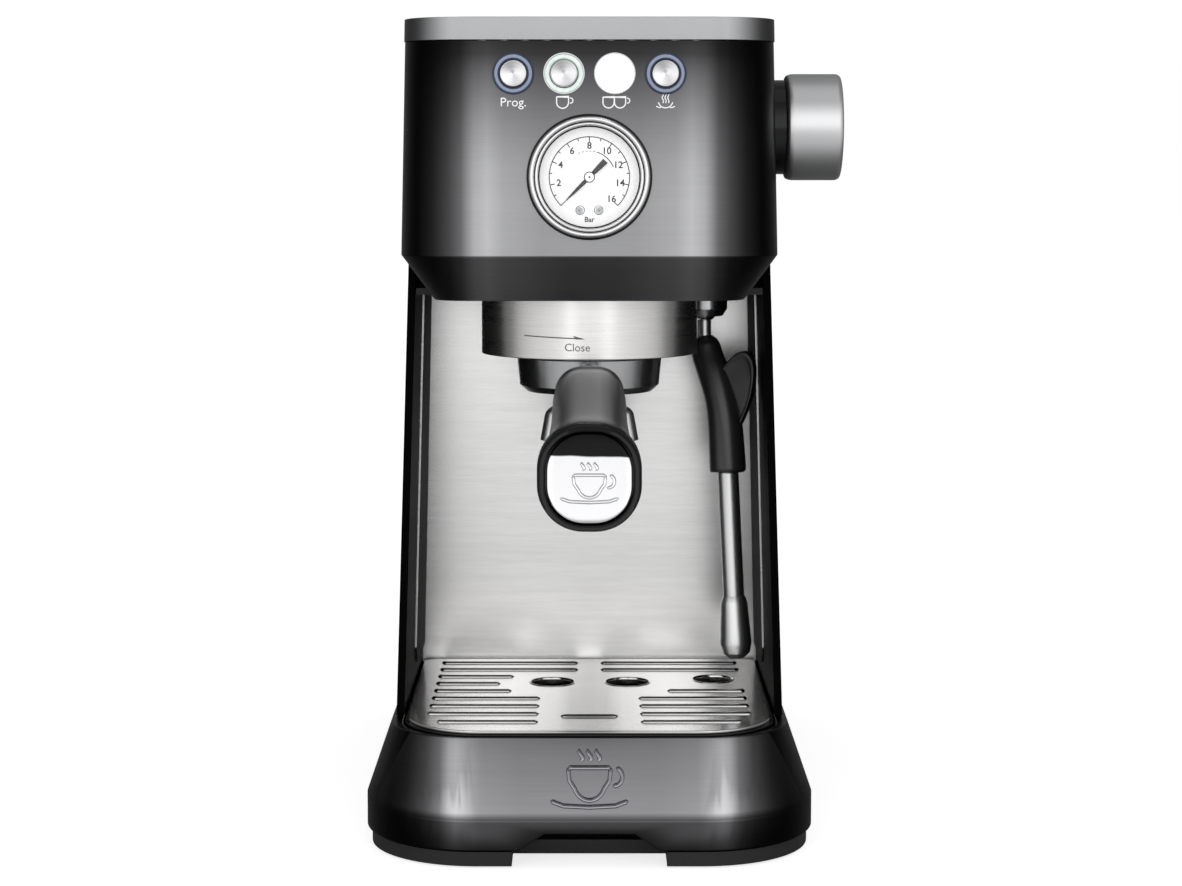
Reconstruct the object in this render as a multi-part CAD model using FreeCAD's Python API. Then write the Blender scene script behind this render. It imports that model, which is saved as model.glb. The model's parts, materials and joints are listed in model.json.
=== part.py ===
import FreeCAD, Part
import math
import os

# Espresso machine, millimetres. +Z is up, -Y is the front where the user stands.
# The origin is the middle of the footprint on the worktop. Heights are written from a
# datum 3 mm above the worktop, and save() lifts every piece by that much.

# ---- driving dimensions ----
DATUM = 3.0               # height of the datum above the worktop
FRONT = -165.0            # front of the base band
BACK = 161.5              # rear wall
BASE_HW = 98.0            # half width of the base at its band
BASE_TOP = 50.5           # top of the gunmetal base
BASE_LOW = 5.5            # lower edge of the gunmetal base
SKIRT_LOW = -2.2          # underside of the skirt
SKIRT_TOP = 4.0
BODY_HW_TOP = 78.4        # half width of the body at the very top
BODY_TAPER = 0.0241       # gain of half width per millimetre going down
CAP_TOP = 356.5           # top of the cap band
CAP_LOW = 347.0           # bottom of the cap band
HEAD_FRONT = -150.5       # front face of the head
HEAD_BOTTOM = 237.0       # underside of the head
BEVEL_TOP = 256.5         # where the lower bevel starts
PANEL_T = 3.5             # side panel thickness
GROUP_Y = -65.5           # group axis
COLLAR_R = 48.9           # outer radius of the group collar
COLLAR_LOW = 210.0        # lower edge of the group collar
GAUGE_Z = 289.8           # gauge centre height
BUTTON_Z = 333.0          # button row height
BUTTON_PITCH = 21.25
KNOB_Y = -102.5           # steam knob axis
KNOB_Z = 311.3
WAND_X = 53.8             # steam wand swivel axis
WAND_Y = -33.0
PLATE_TOP = 53.0          # top of the drip plate
TANK_FRONT = 90.0         # front wall of the water tank


def V(x, y, z):
    return FreeCAD.Vector(x, y, z)


def box(x0, x1, y0, y1, z0, z1):
    return Part.makeBox(x1 - x0, y1 - y0, z1 - z0, V(x0, y0, z0))


def cyl(x, y, z, r, h, axis=(0, 0, 1)):
    return Part.makeCylinder(r, h, V(x, y, z), V(*axis))


def ring(x, y, z, r_out, r_in, h, axis=(0, 0, 1)):
    return cyl(x, y, z, r_out, h, axis).cut(cyl(x, y, z, r_in, h, axis))


def body_hw(z):
    """Half width of the body sides at height z."""
    return BODY_HW_TOP + (CAP_TOP - z) * BODY_TAPER


def outline(hw_front, hw_back, y0, y1, r_front, r_back, z):
    """Closed plan outline at height z: straight sides, rounded front and rear corners."""
    k = math.sqrt(0.5)
    f, b = r_front, r_back
    p = [V(-hw_front + f, y0, z), V(hw_front - f, y0, z),
         V(hw_front, y0 + f, z), V(hw_back, y1 - b, z),
         V(hw_back - b, y1, z), V(-hw_back + b, y1, z),
         V(-hw_back, y1 - b, z), V(-hw_front, y0 + f, z)]
    mid = [V(hw_front - f + f * k, y0 + f - f * k, z),
           V(hw_back - b + b * k, y1 - b + b * k, z),
           V(-hw_back + b - b * k, y1 - b + b * k, z),
           V(-hw_front + f - f * k, y0 + f - f * k, z)]
    edges = [Part.makeLine(p[0], p[1]), Part.Arc(p[1], mid[0], p[2]).toShape(),
             Part.makeLine(p[2], p[3]), Part.Arc(p[3], mid[1], p[4]).toShape(),
             Part.makeLine(p[4], p[5]), Part.Arc(p[5], mid[2], p[6]).toShape(),
             Part.makeLine(p[6], p[7]), Part.Arc(p[7], mid[3], p[0]).toShape()]
    return Part.Wire(edges)


def loft(*wires):
    return Part.makeLoft(list(wires), True, True)


def prism(hw, y0, y1, r_front, r_back, z0, z1):
    """Straight block with a rounded plan outline."""
    face = Part.Face(outline(hw, hw, y0, y1, r_front, r_back, z0))
    return face.extrude(V(0, 0, z1 - z0))


def body_block(inset, y0, y1, r_front, r_back, z0, z1):
    """Tapered block following the sides of the body, moved in by inset."""
    low = body_hw(z0) - inset
    top = body_hw(z1) - inset
    return loft(outline(low, low, y0, y1, r_front, r_back, z0),
                outline(top, top, y0, y1, r_front, r_back, z1))


def slab_yz(points, x0, x1):
    """Plate with a side outline given as (y, z) points, between x0 and x1."""
    wire = Part.makePolygon([V(x0, y, z) for y, z in points + points[:1]])
    return Part.Face(wire).extrude(V(x1 - x0, 0, 0))


def revolve(points, centre, axis=(0, 0, 1)):
    """Solid of revolution: (radius, height) points about a line along axis."""
    wire = Part.makePolygon([V(r, 0, h) for r, h in points + points[:1]])
    solid = Part.Face(wire).revolve(V(0, 0, 0), V(0, 0, 1), 360)
    turn = FreeCAD.Rotation(V(0, 0, 1), V(*axis))
    solid.Placement = FreeCAD.Placement(V(*centre), turn)
    return solid


def tube(points, r):
    """Round bar through the points with ball joints at the corners."""
    parts = []
    for a, b in zip(points, points[1:]):
        a, b = V(*a), V(*b)
        parts.append(Part.makeCylinder(r, (b - a).Length, a, b - a))
    for p in points[1:-1]:
        parts.append(Part.makeSphere(r, V(*p)))
    return parts[0].multiFuse(parts[1:]) if len(parts) > 1 else parts[0]


def save(name, shapes):
    """Write one node; several shapes become one group of solids."""
    shape = shapes if not isinstance(shapes, list) else Part.makeCompound(shapes)
    shape.translate(V(0, 0, DATUM))
    shape.exportStep("parts/%s.step" % name)
    print(name, len(shape.Solids), "valid" if shape.isValid() else "INVALID",
          [round(v, 1) for v in (shape.BoundBox.XMin, shape.BoundBox.XMax, shape.BoundBox.YMin,
                                 shape.BoundBox.YMax, shape.BoundBox.ZMin, shape.BoundBox.ZMax)])


os.makedirs("parts", exist_ok=True)

# ---- skirt, feet and the screws that hold the skirt ----
FOOT_X, FOOT_FRONT_Y, FOOT_BACK_Y = 74.0, -118.0, 138.0
feet_at = [(sx * FOOT_X, y) for sx in (-1, 1) for y in (FOOT_FRONT_Y, FOOT_BACK_Y)]
screws_at = [(sx * 60.0, y) for sx in (-1, 1) for y in (-90.0, 110.0)]
skirt = prism(BASE_HW - 2, FRONT + 3.5, BACK - 1.5, 48, 20, SKIRT_LOW, SKIRT_TOP)
skirt = skirt.fuse(prism(BASE_HW - 6, -95, BACK - 5, 20, 16, SKIRT_TOP, BASE_LOW))
skirt = skirt.cut(box(-33, 33, FRONT, -141, -3, 20))
for x, y in feet_at:
    skirt = skirt.cut(cyl(x, y, -3, 9.5, 6.8))
for x, y in screws_at:
    skirt = skirt.cut(cyl(x, y, -3, 4.2, 4.6)).cut(cyl(x, y, 0, 1.8, 9))
save("base_plate", skirt)
save("feet", [cyl(x, y, -3, 9.3, 6.8) for x, y in feet_at])
save("base_screws", [cyl(x, y, -1.0, 3.9, 2.6).fuse(cyl(x, y, 1.6, 1.7, 5.4)) for x, y in screws_at])


def base_form(inset, z0, z1):
    """Flared base between two heights: a sloping upper part above an upright band."""
    def section(z):
        t = min(1.0, max(0.0, (z - 20.0) / (BASE_TOP - 20.0)))
        hw = BASE_HW - t * 10.5 - inset
        y0 = FRONT + t * 17.0 + inset
        return outline(hw, hw, y0, BACK - inset, 50 - 14 * t - inset, 14 - min(inset, 8), z)
    levels = [z0] + [z for z in (20.0,) if z0 < z < z1] + [z1]
    parts = [loft(section(a), section(b)) for a, b in zip(levels, levels[1:])]
    return parts[0].fuse(parts[1]).removeSplitter() if len(parts) > 1 else parts[0]


# ---- base housing: side rails, floor and rear well behind the tray drawer ----
SEAM_Y = -100.0
outer = base_form(0, BASE_LOW, BASE_TOP)
behind = box(-120, 120, SEAM_Y, 200, 0, 60)
channel = box(-83.0, 83.0, -200, 22, 9.8, 60)
rear_well = box(-80, 80, 25, 156, 9.8, 48.0)
housing = outer.common(behind).cut(channel).cut(rear_well)
for x, y in screws_at:
    housing = housing.cut(cyl(x, y, 5, 1.9, 3))
PUMP_X, PUMP_Y, OUTLET_Y = -48.0, 62.0, 122.0
cradle = box(-68, -28, 44, 80, BASE_TOP, 74).cut(box(-60, -36, 43, 81, BASE_TOP + 4, 70))
housing = housing.fuse(cradle.cut(cyl(PUMP_X, PUMP_Y, 50, 7, 30)))
housing = housing.cut(cyl(PUMP_X, PUMP_Y, 47, 6.5, 5)).cut(cyl(0, OUTLET_Y, 47, 5, 5))
ROCKER_X, ROCKER_Z = -40.0, 30.0
gland_hole = cyl(40, 150, 24, 7.2, 20, (0, 1, 0))
rocker_hole = box(ROCKER_X - 11, ROCKER_X + 11, 150, 165, ROCKER_Z - 7.5, ROCKER_Z + 7.5)
save("base_housing", housing.cut(gland_hole).cut(rocker_hole))
save("cord_gland", revolve([(3.6, 0), (12, 0), (12, 2.5), (6.9, 2.5), (6.9, 14), (3.6, 14)],
                           (40, 164.0, 24), (0, -1, 0)))
save("rocker_frame", box(ROCKER_X - 13, ROCKER_X + 13, 161.5, 163.5, ROCKER_Z - 9.5, ROCKER_Z + 9.5)
     .fuse(box(ROCKER_X - 10.9, ROCKER_X + 10.9, 140, 161.5, ROCKER_Z - 7.4, ROCKER_Z + 7.4))
     .cut(box(ROCKER_X - 9, ROCKER_X + 9, 142, 165, ROCKER_Z - 6, ROCKER_Z + 6)))
rocker = box(ROCKER_X - 8.6, ROCKER_X + 8.6, 155.5, 163.6, ROCKER_Z - 4.6, ROCKER_Z + 4.6)
rocker = rocker.common(cyl(ROCKER_X - 9, 156.5, ROCKER_Z, 8.0, 18, (1, 0, 0)))
rocker.rotate(V(ROCKER_X, 156.5, ROCKER_Z), V(1, 0, 0), -8)
save("power_rocker", rocker)

# ---- tray drawer: gunmetal front, plastic tub and pressed drip plate ----
front = base_form(0, BASE_LOW, BASE_TOP).common(box(-120, 120, -200, SEAM_Y - 0.6, 0, 60))
front = front.cut(base_form(3.0, BASE_LOW, 44.0).common(box(-120, 120, -200, -90, BASE_LOW, 44)))
tub_seat = prism(82.2, -147.4, -60, 33, 5, 43.9, 52)
front = front.cut(tub_seat)
ARCH_LOW, ARCH_TOP, ARCH_H = 31.0, 19.2, 7.0
arch = Part.makePolygon([V(-ARCH_LOW, -170, 5), V(-ARCH_TOP, -170, BASE_LOW + ARCH_H),
                         V(ARCH_TOP, -170, BASE_LOW + ARCH_H), V(ARCH_LOW, -170, 5), V(-ARCH_LOW, -170, 5)])
front = front.cut(Part.Face(arch).extrude(V(0, 30, 0)))
save("tray_front", front)
tub = loft(outline(78, 78, -142.9, 15, 30, 8, 12), outline(80, 80, -144.4, 16, 31, 8, 46.5))
tub = tub.fuse(prism(81.4, -146.8, 17, 33, 8, 46.5, 51.5))
tub = tub.cut(loft(outline(75.5, 75.5, -140.4, 12.5, 28, 6, 14.2),
                   outline(77.6, 77.6, -141.8, 13.6, 29, 6, 52)))
save("tray_tub", tub)

ROW_PITCH, BEAD_R, BEAD_H = 16.45, 2.3, 0.9
NEAR_ENDS = (5.2, 5.2, 35.5, 41.4, 35.7, 22.2, 22.2, 22.2, 22.2)
plate = loft(outline(80.0, 81.4, -146.9, 16.4, 33, 5, 51.5),
             outline(79.6, 81.0, -146.5, 16.0, 33, 5, PLATE_TOP))
plate = plate.cut(loft(outline(77.4, 78.0, -144.3, 14.0, 31, 4, 51.4),
                       outline(77.4, 78.0, -144.3, 14.0, 31, 4, 52.0)))


def bead(x0, x1, y):
    """Raised rib pressed into the plate, with round ends."""
    a, b = min(x0, x1) + BEAD_R, max(x0, x1) - BEAD_R
    ends = [Part.makeCone(BEAD_R, BEAD_R - BEAD_H, BEAD_H, V(x, y, PLATE_TOP)) for x in (a, b)]
    bar = slab_yz([(y - BEAD_R, PLATE_TOP), (y + BEAD_R, PLATE_TOP),
                   (y + BEAD_R - BEAD_H, PLATE_TOP + BEAD_H),
                   (y - BEAD_R + BEAD_H, PLATE_TOP + BEAD_H)], a, b)
    return bar.fuse(ends)


for side in (-1, 1):
    for row, near in enumerate(NEAR_ENDS):
        if side > 0 and row in (2, 3):
            continue
        far = 66.8 if row == 8 else 72.0
        plate = plate.fuse(bead(side * near, side * far, 2.6 - row * ROW_PITCH))
plate = plate.fuse(bead(-12.8, 12.8, -117.5))
PLATE_HOLES = [(-17.6, -43.0, 8.8), (17.6, -43.0, 8.8), (58.2, -36.5, 8.0)]
for x, y, r in PLATE_HOLES:
    plate = plate.cut(cyl(x, y, 45, r, 20))
save("drip_plate", plate)

# ---- side panels, splash back and rear structure ----
PANEL_FOOT_Y, PANEL_HEAD_Y = -107.0, -71.0


def panel_front(z):
    """Where the sloping front edge of a side panel sits at height z."""
    return PANEL_FOOT_Y + (PANEL_HEAD_Y - PANEL_FOOT_Y) * (z - 51.0) / (CAP_LOW - 51.0)


full_body = body_block(0, -200, 158.5, 5, 6, BASE_TOP, CAP_LOW - 0.2)
core = body_block(PANEL_T, -210, 170, 5, 5, BASE_TOP, CAP_LOW - 0.2)
side_cut = slab_yz([(panel_front(51), 51), (-99.5, 51), (-99.5, BASE_TOP), (170, BASE_TOP), (170, CAP_LOW),
                    (panel_front(CAP_LOW), CAP_LOW)], -120, 120)
sides = full_body.common(side_cut).cut(core)
save("left_side_panel", sides.common(box(-120, 0, -200, 200, 0, 400)))
save("right_side_panel", sides.common(box(0, 120, -200, 200, 0, 400)))

SPLASH_HIGH = HEAD_BOTTOM - 0.4
sheet = slab_yz([(17.6, 51.0), (18.5, 60.0), (20.0, SPLASH_HIGH),
                 (21.0, SPLASH_HIGH), (19.5, 60.0), (18.6, 51.0)], -90, 90)
flange = slab_yz([(-40, 64.0), (-46, 70), (-36, SPLASH_HIGH),
                  (21.0, SPLASH_HIGH), (19.5, 60.0), (-38, 61.5)], -90, 90)
fit = body_block(PANEL_T + 0.1, -100, 100, 2, 2, 51, 240)
gap = body_block(PANEL_T + 1.0, -110, 110, 2, 2, 50, 241)
save("splash_back", sheet.common(fit).fuse(flange.common(fit).cut(gap)))
save("tank_bay_wall", body_block(PANEL_T + 0.3, 84.5, 86.5, 0.5, 0.5, 50.5, CAP_LOW - 0.2))
TANK_LOW, TANK_HIGH = 62.0, 350.2
dock = box(-78, 78, 86.5, 158.5, BASE_TOP, 56).fuse(box(-78, 78, 156.3, 158.5, 56, 76))
for side in (-1, 1):
    dock = dock.fuse(box(side * 55 - 5, side * 55 + 5, 95, 150, 56, TANK_LOW - 0.3))
dock = dock.fuse(cyl(0, OUTLET_Y, 56, 6.0, 4.5)).cut(cyl(0, OUTLET_Y, 50, 3.8, 12))
save("tank_dock", dock)

# ---- water tank with its lid, lifting handle and outlet ----
tank = prism(66.5, TANK_FRONT, 155.5, 10, 10, TANK_LOW, TANK_HIGH)
tank = tank.cut(prism(64.3, TANK_FRONT + 2.2, 153.3, 8, 8, TANK_LOW + 2.5, TANK_HIGH + 1))
tank = tank.cut(cyl(0, OUTLET_Y, 50, 7.5, 20))
save("water_tank", tank)
outlet = [(6.4, 0.3), (9.0, 0.3), (9.0, 3.9), (7.4, 3.9), (7.4, 9), (6.4, 9)]
save("tank_outlet", revolve(outlet, (0, OUTLET_Y, 58.0)))
lid_plate = prism(67.5, TANK_FRONT - 1, 156, 9, 9, 350.5, 356.2)
lid_plate = lid_plate.fuse(prism(63.5, TANK_FRONT + 3.2, 152.0, 7, 7, 345, 350.5)).cut(
    prism(61.5, TANK_FRONT + 5, 150.2, 6, 6, 344, 353.5))
lid_plate = lid_plate.cut(prism(24, 108, 138, 8, 8, 353.9, 358))
save("tank_lid", lid_plate)
save("tank_handle", tube([(-62.2, 122, 300), (-62.2, 122, 336), (62.2, 122, 336), (62.2, 122, 300)], 1.8))

# ---- head shell, underside and top cap ----
bevel_in = 14.0
upper = body_block(0, HEAD_FRONT, 120, 24, 5, BEVEL_TOP, CAP_LOW - 0.2)


def bevel(inset, z0, z1):
    """Bevelled lower part of the head between two heights, moved in by inset."""
    def section(z):
        t = (BEVEL_TOP - z) / (BEVEL_TOP - HEAD_BOTTOM)
        hw = body_hw(BEVEL_TOP) - inset - bevel_in * t
        return outline(hw, hw, HEAD_FRONT + inset + bevel_in * t, 120, 24 - 9 * t - inset, 5, z)
    return loft(section(z0), section(z1))


seam_cut = slab_yz([(-200, 230), (panel_front(230) - 0.4, 230),
                    (panel_front(360) - 0.4, 360), (-200, 360)], -120, 120)
solid_head = upper.fuse(bevel(0, HEAD_BOTTOM, BEVEL_TOP))
hollow = body_block(2, HEAD_FRONT + 2, 130, 22, 4, BEVEL_TOP, CAP_LOW + 1)
hollow = hollow.fuse(bevel(2, HEAD_BOTTOM - 0.01, BEVEL_TOP))
shell = solid_head.cut(hollow).common(seam_cut)
button_x = [BUTTON_PITCH * (i - 1.5) for i in range(4)]
for x in button_x:
    shell = shell.cut(cyl(x, -160, BUTTON_Z, 8.3, 30, (0, 1, 0)))
shell = shell.cut(cyl(0, -160, GAUGE_Z, 24.3, 30, (0, 1, 0)))
shell = shell.cut(cyl(70, KNOB_Y, KNOB_Z, 12, 30, (1, 0, 0)))
save("head_shell", shell)
floor_hw = body_hw(BEVEL_TOP) - 2.3 - bevel_in
floor_in = prism(floor_hw, HEAD_FRONT + 16.6, -84.4, 14, 2, HEAD_BOTTOM, HEAD_BOTTOM + 3)
floor_back = body_block(PANEL_T + 0.3, -86.4, 84.2, 1, 1, HEAD_BOTTOM, HEAD_BOTTOM + 3)
floor_cut = slab_yz([(-200, 230), (-84.4, 230), (-84.4, 250), (-200, 250)], -120, 120)
underside = floor_in.fuse(floor_back.cut(floor_cut)).cut(cyl(0, GROUP_Y, 230, 46.8, 20))
underside = underside.cut(cyl(WAND_X, WAND_Y, 230, 9.2, 20)).cut(cyl(PUMP_X, PUMP_Y, 230, 4.5, 20))
save("head_underside", underside)
cap = body_block(-0.4, HEAD_FRONT - 0.4, BACK - 1, 24.4, 8, CAP_LOW, CAP_TOP)
cap = cap.cut(body_block(2.6, HEAD_FRONT + 2.6, BACK - 4, 21.4, 6, CAP_LOW - 1, CAP_TOP - 2.5))
cap = cap.cut(prism(68, TANK_FRONT - 1.6, 156.6, 9.5, 9.5, 340, 360))
cap = cap.cut(prism(62, -136, 74, 14, 8, 340, 360))
save("top_cap", cap)
tray_screws_at = [(sx * 54, y) for sx in (-1, 1) for y in (-126.0, 66.0)]
tray = prism(66, -140, 78, 17, 11, CAP_TOP, CAP_TOP + 0.8)
tray = tray.cut(prism(60.5, -134.5, 72.5, 13, 7, CAP_TOP - 1, CAP_TOP + 2))
tray = tray.fuse(prism(61.6, -135.6, 73.6, 14, 8, 353.5, CAP_TOP + 0.8).cut(
    prism(60.5, -134.5, 72.5, 13, 7, 354.5, CAP_TOP + 2)))
for i in range(11):
    y = -115 + i * 17.0
    tray = tray.cut(box(-45, 45, y, y + 4, 350, 356))
for x, y in tray_screws_at:
    tray = tray.cut(cyl(x, y, 350, 1.3, 8))
save("cup_tray", tray)
save("cup_tray_screws", [cyl(x, y, 354.5, 2.6, 1.2).fuse(cyl(x, y, 346, 1.2, 8.5))
                         for x, y in tray_screws_at])

# ---- four push-buttons with light rings, switches and the board behind ----
FACE = HEAD_FRONT
save("button_light_rings", [ring(x, FACE - 1.0, BUTTON_Z, 8.7, 6.1, 1.0, (0, 1, 0))
                            .fuse(ring(x, FACE, BUTTON_Z, 8.2, 6.1, 5.0, (0, 1, 0))) for x in button_x])
for name, x in zip(("program", "one_cup", "two_cup", "steam"), button_x):
    save("button_" + name, cyl(x, FACE - 1.6, BUTTON_Z, 5.75, 6.2, (0, 1, 0)))
save("button_switches", [box(x - 4, x + 4, FACE + 6.4, FACE + 11.8, BUTTON_Z - 4, BUTTON_Z + 4)
                         for x in button_x])
save("control_board", box(-52, 52, FACE + 11.8, FACE + 13.4, 319, 345))

# ---- pressure gauge ----
save("gauge_case", ring(0, FACE - 1.2, GAUGE_Z, 26.4, 22.6, 1.2, (0, 1, 0))
     .fuse(ring(0, FACE, GAUGE_Z, 24.0, 22.6, 14, (0, 1, 0)))
     .fuse(cyl(0, FACE + 14, GAUGE_Z, 24.0, 2, (0, 1, 0))))
save("gauge_bezel", revolve([(21.3, 0), (25.7, 0), (25.7, 1.6), (24.2, 3.6), (23.0, 3.0), (21.3, 1.0)],
                            (0, FACE - 1.2, GAUGE_Z), (0, -1, 0)))
dial_disc = cyl(0, FACE + 3.0, GAUGE_Z, 22.5, 1.0, (0, 1, 0))
save("gauge_dial", dial_disc.cut(cyl(0, FACE, GAUGE_Z, 1.0, 9, (0, 1, 0))))
save("dial_screws", [cyl(x, FACE + 2.2, GAUGE_Z - 14.0, 1.5, 0.8, (0, 1, 0)) for x in (-4.2, 4.2)])
save("gauge_glass", cyl(0, FACE - 1.6, GAUGE_Z, 21.2, 1.4, (0, 1, 0)))
needle = Part.makePolygon([V(-0.35, FACE + 0.9, 17.0), V(0.35, FACE + 0.9, 17.0), V(1.0, FACE + 0.9, 0),
                           V(1.6, FACE + 0.9, -9.0), V(-1.6, FACE + 0.9, -9.0), V(-1.0, FACE + 0.9, 0),
                           V(-0.35, FACE + 0.9, 17.0)])
needle = Part.Face(needle).extrude(V(0, 0.6, 0)).fuse(cyl(0, FACE + 0.4, 0, 2.65, 1.3, (0, 1, 0)))
needle = needle.fuse(cyl(0, FACE + 1.7, 0, 0.9, 6, (0, 1, 0)))
needle.rotate(V(0, 0, 0), V(0, 1, 0), -135)
needle.translate(V(0, 0, GAUGE_Z))
save("gauge_pointer", needle)

# ---- steam knob on the right side, its collar, spindle and valve ----
side_x = body_hw(KNOB_Z)
save("knob_collar", ring(side_x - 0.6, KNOB_Y, KNOB_Z, 20.5, 9.0, 6.0, (1, 0, 0))
     .cut(body_block(0, -200, 100, 5, 5, 250, 347)))
knob = cyl(side_x + 5.8, KNOB_Y, KNOB_Z, 23.1, 24.1, (1, 0, 0))
rim = [e for e in knob.Edges if e.BoundBox.XLength < 0.01 and e.BoundBox.XMin > side_x + 20]
save("steam_knob", knob.makeFillet(1.6, rim[:1]))
save("steam_spindle", cyl(52.2, KNOB_Y, KNOB_Z, 4.0, side_x + 5.8 - 52.2, (1, 0, 0)))
save("steam_valve", box(26, 66, KNOB_Y - 13, KNOB_Y + 13, KNOB_Z - 13, KNOB_Z + 13)
     .cut(cyl(52, KNOB_Y, KNOB_Z, 4.05, 30, (1, 0, 0))))

# ---- group: collar, bayonet head, gasket and shower screen ----
save("group_collar", ring(0, GROUP_Y, COLLAR_LOW, COLLAR_R, COLLAR_R - 2.0, HEAD_BOTTOM - COLLAR_LOW))
EAR_R, EAR_LOW, EAR_HIGH = 42.0, 222.5, 227.5
group = cyl(0, GROUP_Y, 213, 46.5, 45).fuse(cyl(0, GROUP_Y, HEAD_BOTTOM + 3, 51, 3))
group = group.cut(cyl(0, GROUP_Y, 212, 37.2, 18.6)).cut(cyl(0, GROUP_Y, 221.8, EAR_R + 0.6, 6.4))
group = group.cut(cyl(0, GROUP_Y, 230.5, 35.0, 7.5)).cut(cyl(0, GROUP_Y, 237, 2.6, 30))


def wedge(r_in, r_out, z0, z1, mid, half):
    """Sector of a ring about the group axis, centred on angle mid."""
    sector = ring(0, GROUP_Y, z0, r_out, r_in, z1 - z0)
    reach = r_out * 1.6
    pts = [V(0, GROUP_Y, z0)]
    for a in (mid - half, mid, mid + half, mid - half):
        pts.append(V(reach * math.cos(math.radians(a)), GROUP_Y + reach * math.sin(math.radians(a)), z0))
    pts[-1] = pts[0]
    return sector.common(Part.Face(Part.makePolygon(pts)).extrude(V(0, 0, z1 - z0)))


for mid in (-45, 135):
    group = group.cut(wedge(30, EAR_R + 0.6, 212, 224, mid, 19))
save("group_head", group)
save("group_gasket", ring(0, GROUP_Y, 230.5, 34.9, 27.6, 7.3))
save("shower_screen", cyl(0, GROUP_Y, 228.4, 27.0, 2.0).cut(cyl(0, GROUP_Y, 228, 2.6, 4)))
save("shower_screw", cyl(0, GROUP_Y, 226.8, 4.4, 1.6).fuse(cyl(0, GROUP_Y, 228.4, 2.4, 12)))

# ---- portafilter ----
bowl = revolve([(24.0, 192.7), (28.5, 192.7), (31.6, 195.6), (32.8, 208.0), (36.5, 211.0),
                (36.5, 229.0), (32.2, 229.0), (32.2, 206.0), (30.0, 200.0), (28.0, 197.2),
                (0, 197.2), (0, 192.7)], (0, GROUP_Y, 0))
ears = [wedge(35.5, EAR_R, EAR_LOW, EAR_HIGH, mid, 15) for mid in (0, 180)]
AXIS_A, AXIS_B = V(0, -97, 200.8), V(0, -150, 192.2)
neck = Part.makeCylinder(6.4, (AXIS_B - AXIS_A).Length, AXIS_A, AXIS_B - AXIS_A)
inside = cyl(0, GROUP_Y, 197.2, 32.2, 40)
body = bowl.fuse(ears).fuse(neck.cut(inside)).cut(cyl(0, GROUP_Y, 190, 4, 10))
save("portafilter_body", body)
spout = cyl(0, GROUP_Y, 184, 10, 8.7)
for sx in (-1, 1):
    spout = spout.fuse(tube([(0, GROUP_Y, 186), (sx * 15, GROUP_Y, 180), (sx * 17, GROUP_Y, 169)], 5.5))
spout = spout.cut(cyl(0, GROUP_Y, 183, 4, 12))
for sx in (-1, 1):
    spout = spout.cut(tube([(0, GROUP_Y, 186), (sx * 15, GROUP_Y, 180), (sx * 17, GROUP_Y, 162)], 3.6))
save("twin_spout", spout)
save("filter_basket", revolve([(0, 203.6), (25.5, 203.6), (29.2, 207.0), (29.2, 229.05), (33.8, 229.05),
                               (33.8, 229.8), (28.5, 229.8), (28.5, 207.4), (25.2, 204.3), (0, 204.3)],
                              (0, GROUP_Y, 0)))


def grip_section(w, h, y, zc, lean):
    """Soft rounded outline of the grip at station y, leaning back by lean degrees."""
    r = 0.44 * min(w, h)
    wire = outline(w / 2, w / 2, -h / 2, h / 2, r, r, 0)
    wire.rotate(V(0, 0, 0), V(1, 0, 0), 90 + lean)
    wire.translate(V(0, y, zc))
    return wire


grip = Part.makeLoft([grip_section(29, 26, -131, 195.6, -9), grip_section(31, 28.5, -150, 192.4, -9),
                      grip_section(31.5, 30, -190, 185.5, -10), grip_section(35, 35, -222, 179.5, -11),
                      grip_section(39.6, 41.0, -240, 176.2, -12), grip_section(40.0, 41.6, -246, 175.0, -12)],
                     True, False)
END_LEAN = -12
pocket = Part.Face(grip_section(34.0, 35.6, -247.5, 174.7, END_LEAN)).extrude(V(0, 3.4, -0.7))
grip = grip.cut(Part.makeCylinder(6.5, (AXIS_B - AXIS_A).Length + 2, AXIS_A, AXIS_B - AXIS_A)).cut(pocket)
save("portafilter_grip", grip)
save("grip_end_plate", Part.Face(grip_section(33.4, 35.0, -247.1, 174.62, END_LEAN)).extrude(V(0, 2.6, -0.5)))

# ---- steam wand: socket, ball, pipe, sleeve with thumb tab, and tip ----
BALL_Z = 228.0
save("wand_socket", revolve([(5.6, 224.6), (8.4, 224.6), (10.6, 228.0), (10.6, 237.0), (9.1, 237.0),
                             (9.1, 240.0), (11.0, 240.0), (11.0, 242.0), (6.4, 242.0), (6.4, 231.0),
                             (6.9, 228.0), (6.0, 225.0)], (WAND_X, WAND_Y, 0)))
ball = Part.makeSphere(6.2, V(WAND_X, WAND_Y, BALL_Z)).cut(cyl(WAND_X, WAND_Y, 220, 1.8, 20))
save("wand_ball", ball.cut(cyl(WAND_X, WAND_Y, 219, 3.15, 5.3)))
TOP, KNEE = (WAND_X, WAND_Y, 224.2), (WAND_X, WAND_Y, 209.0)
BEND, HIP, END = (60.5, -40.0, 192.0), (63.6, -43.6, 172.0), (67.3, -50.0, 92.0)
upper_pipe = tube([TOP, KNEE, BEND, HIP], 3.1)
steel = upper_pipe.fuse(tube([HIP, END], 4.9)).cut(cyl(WAND_X, WAND_Y, 215, 1.6, 12))
save("wand_pipe", steel)
run = V(*END) - V(*HIP)
CUFF = V(*HIP) + run * (19.0 / run.Length)
sleeve = tube([KNEE, BEND, HIP], 7.4).fuse(tube([HIP, tuple(CUFF)], 8.8))
leaf = [(0, 194), (4, 203), (10, 208.4), (15, 208), (18.4, 203), (18.8, 196),
        (16, 186), (11, 177), (5, 170), (0, 172)]
LEAF_DIR, LEAF_T = V(0.88, -0.475, 0), 4.0
side = V(0.475, 0.88, 0) * (LEAF_T / 2)
corners = [V(60.5, -40, z) + LEAF_DIR * s - side for s, z in leaf]
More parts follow.
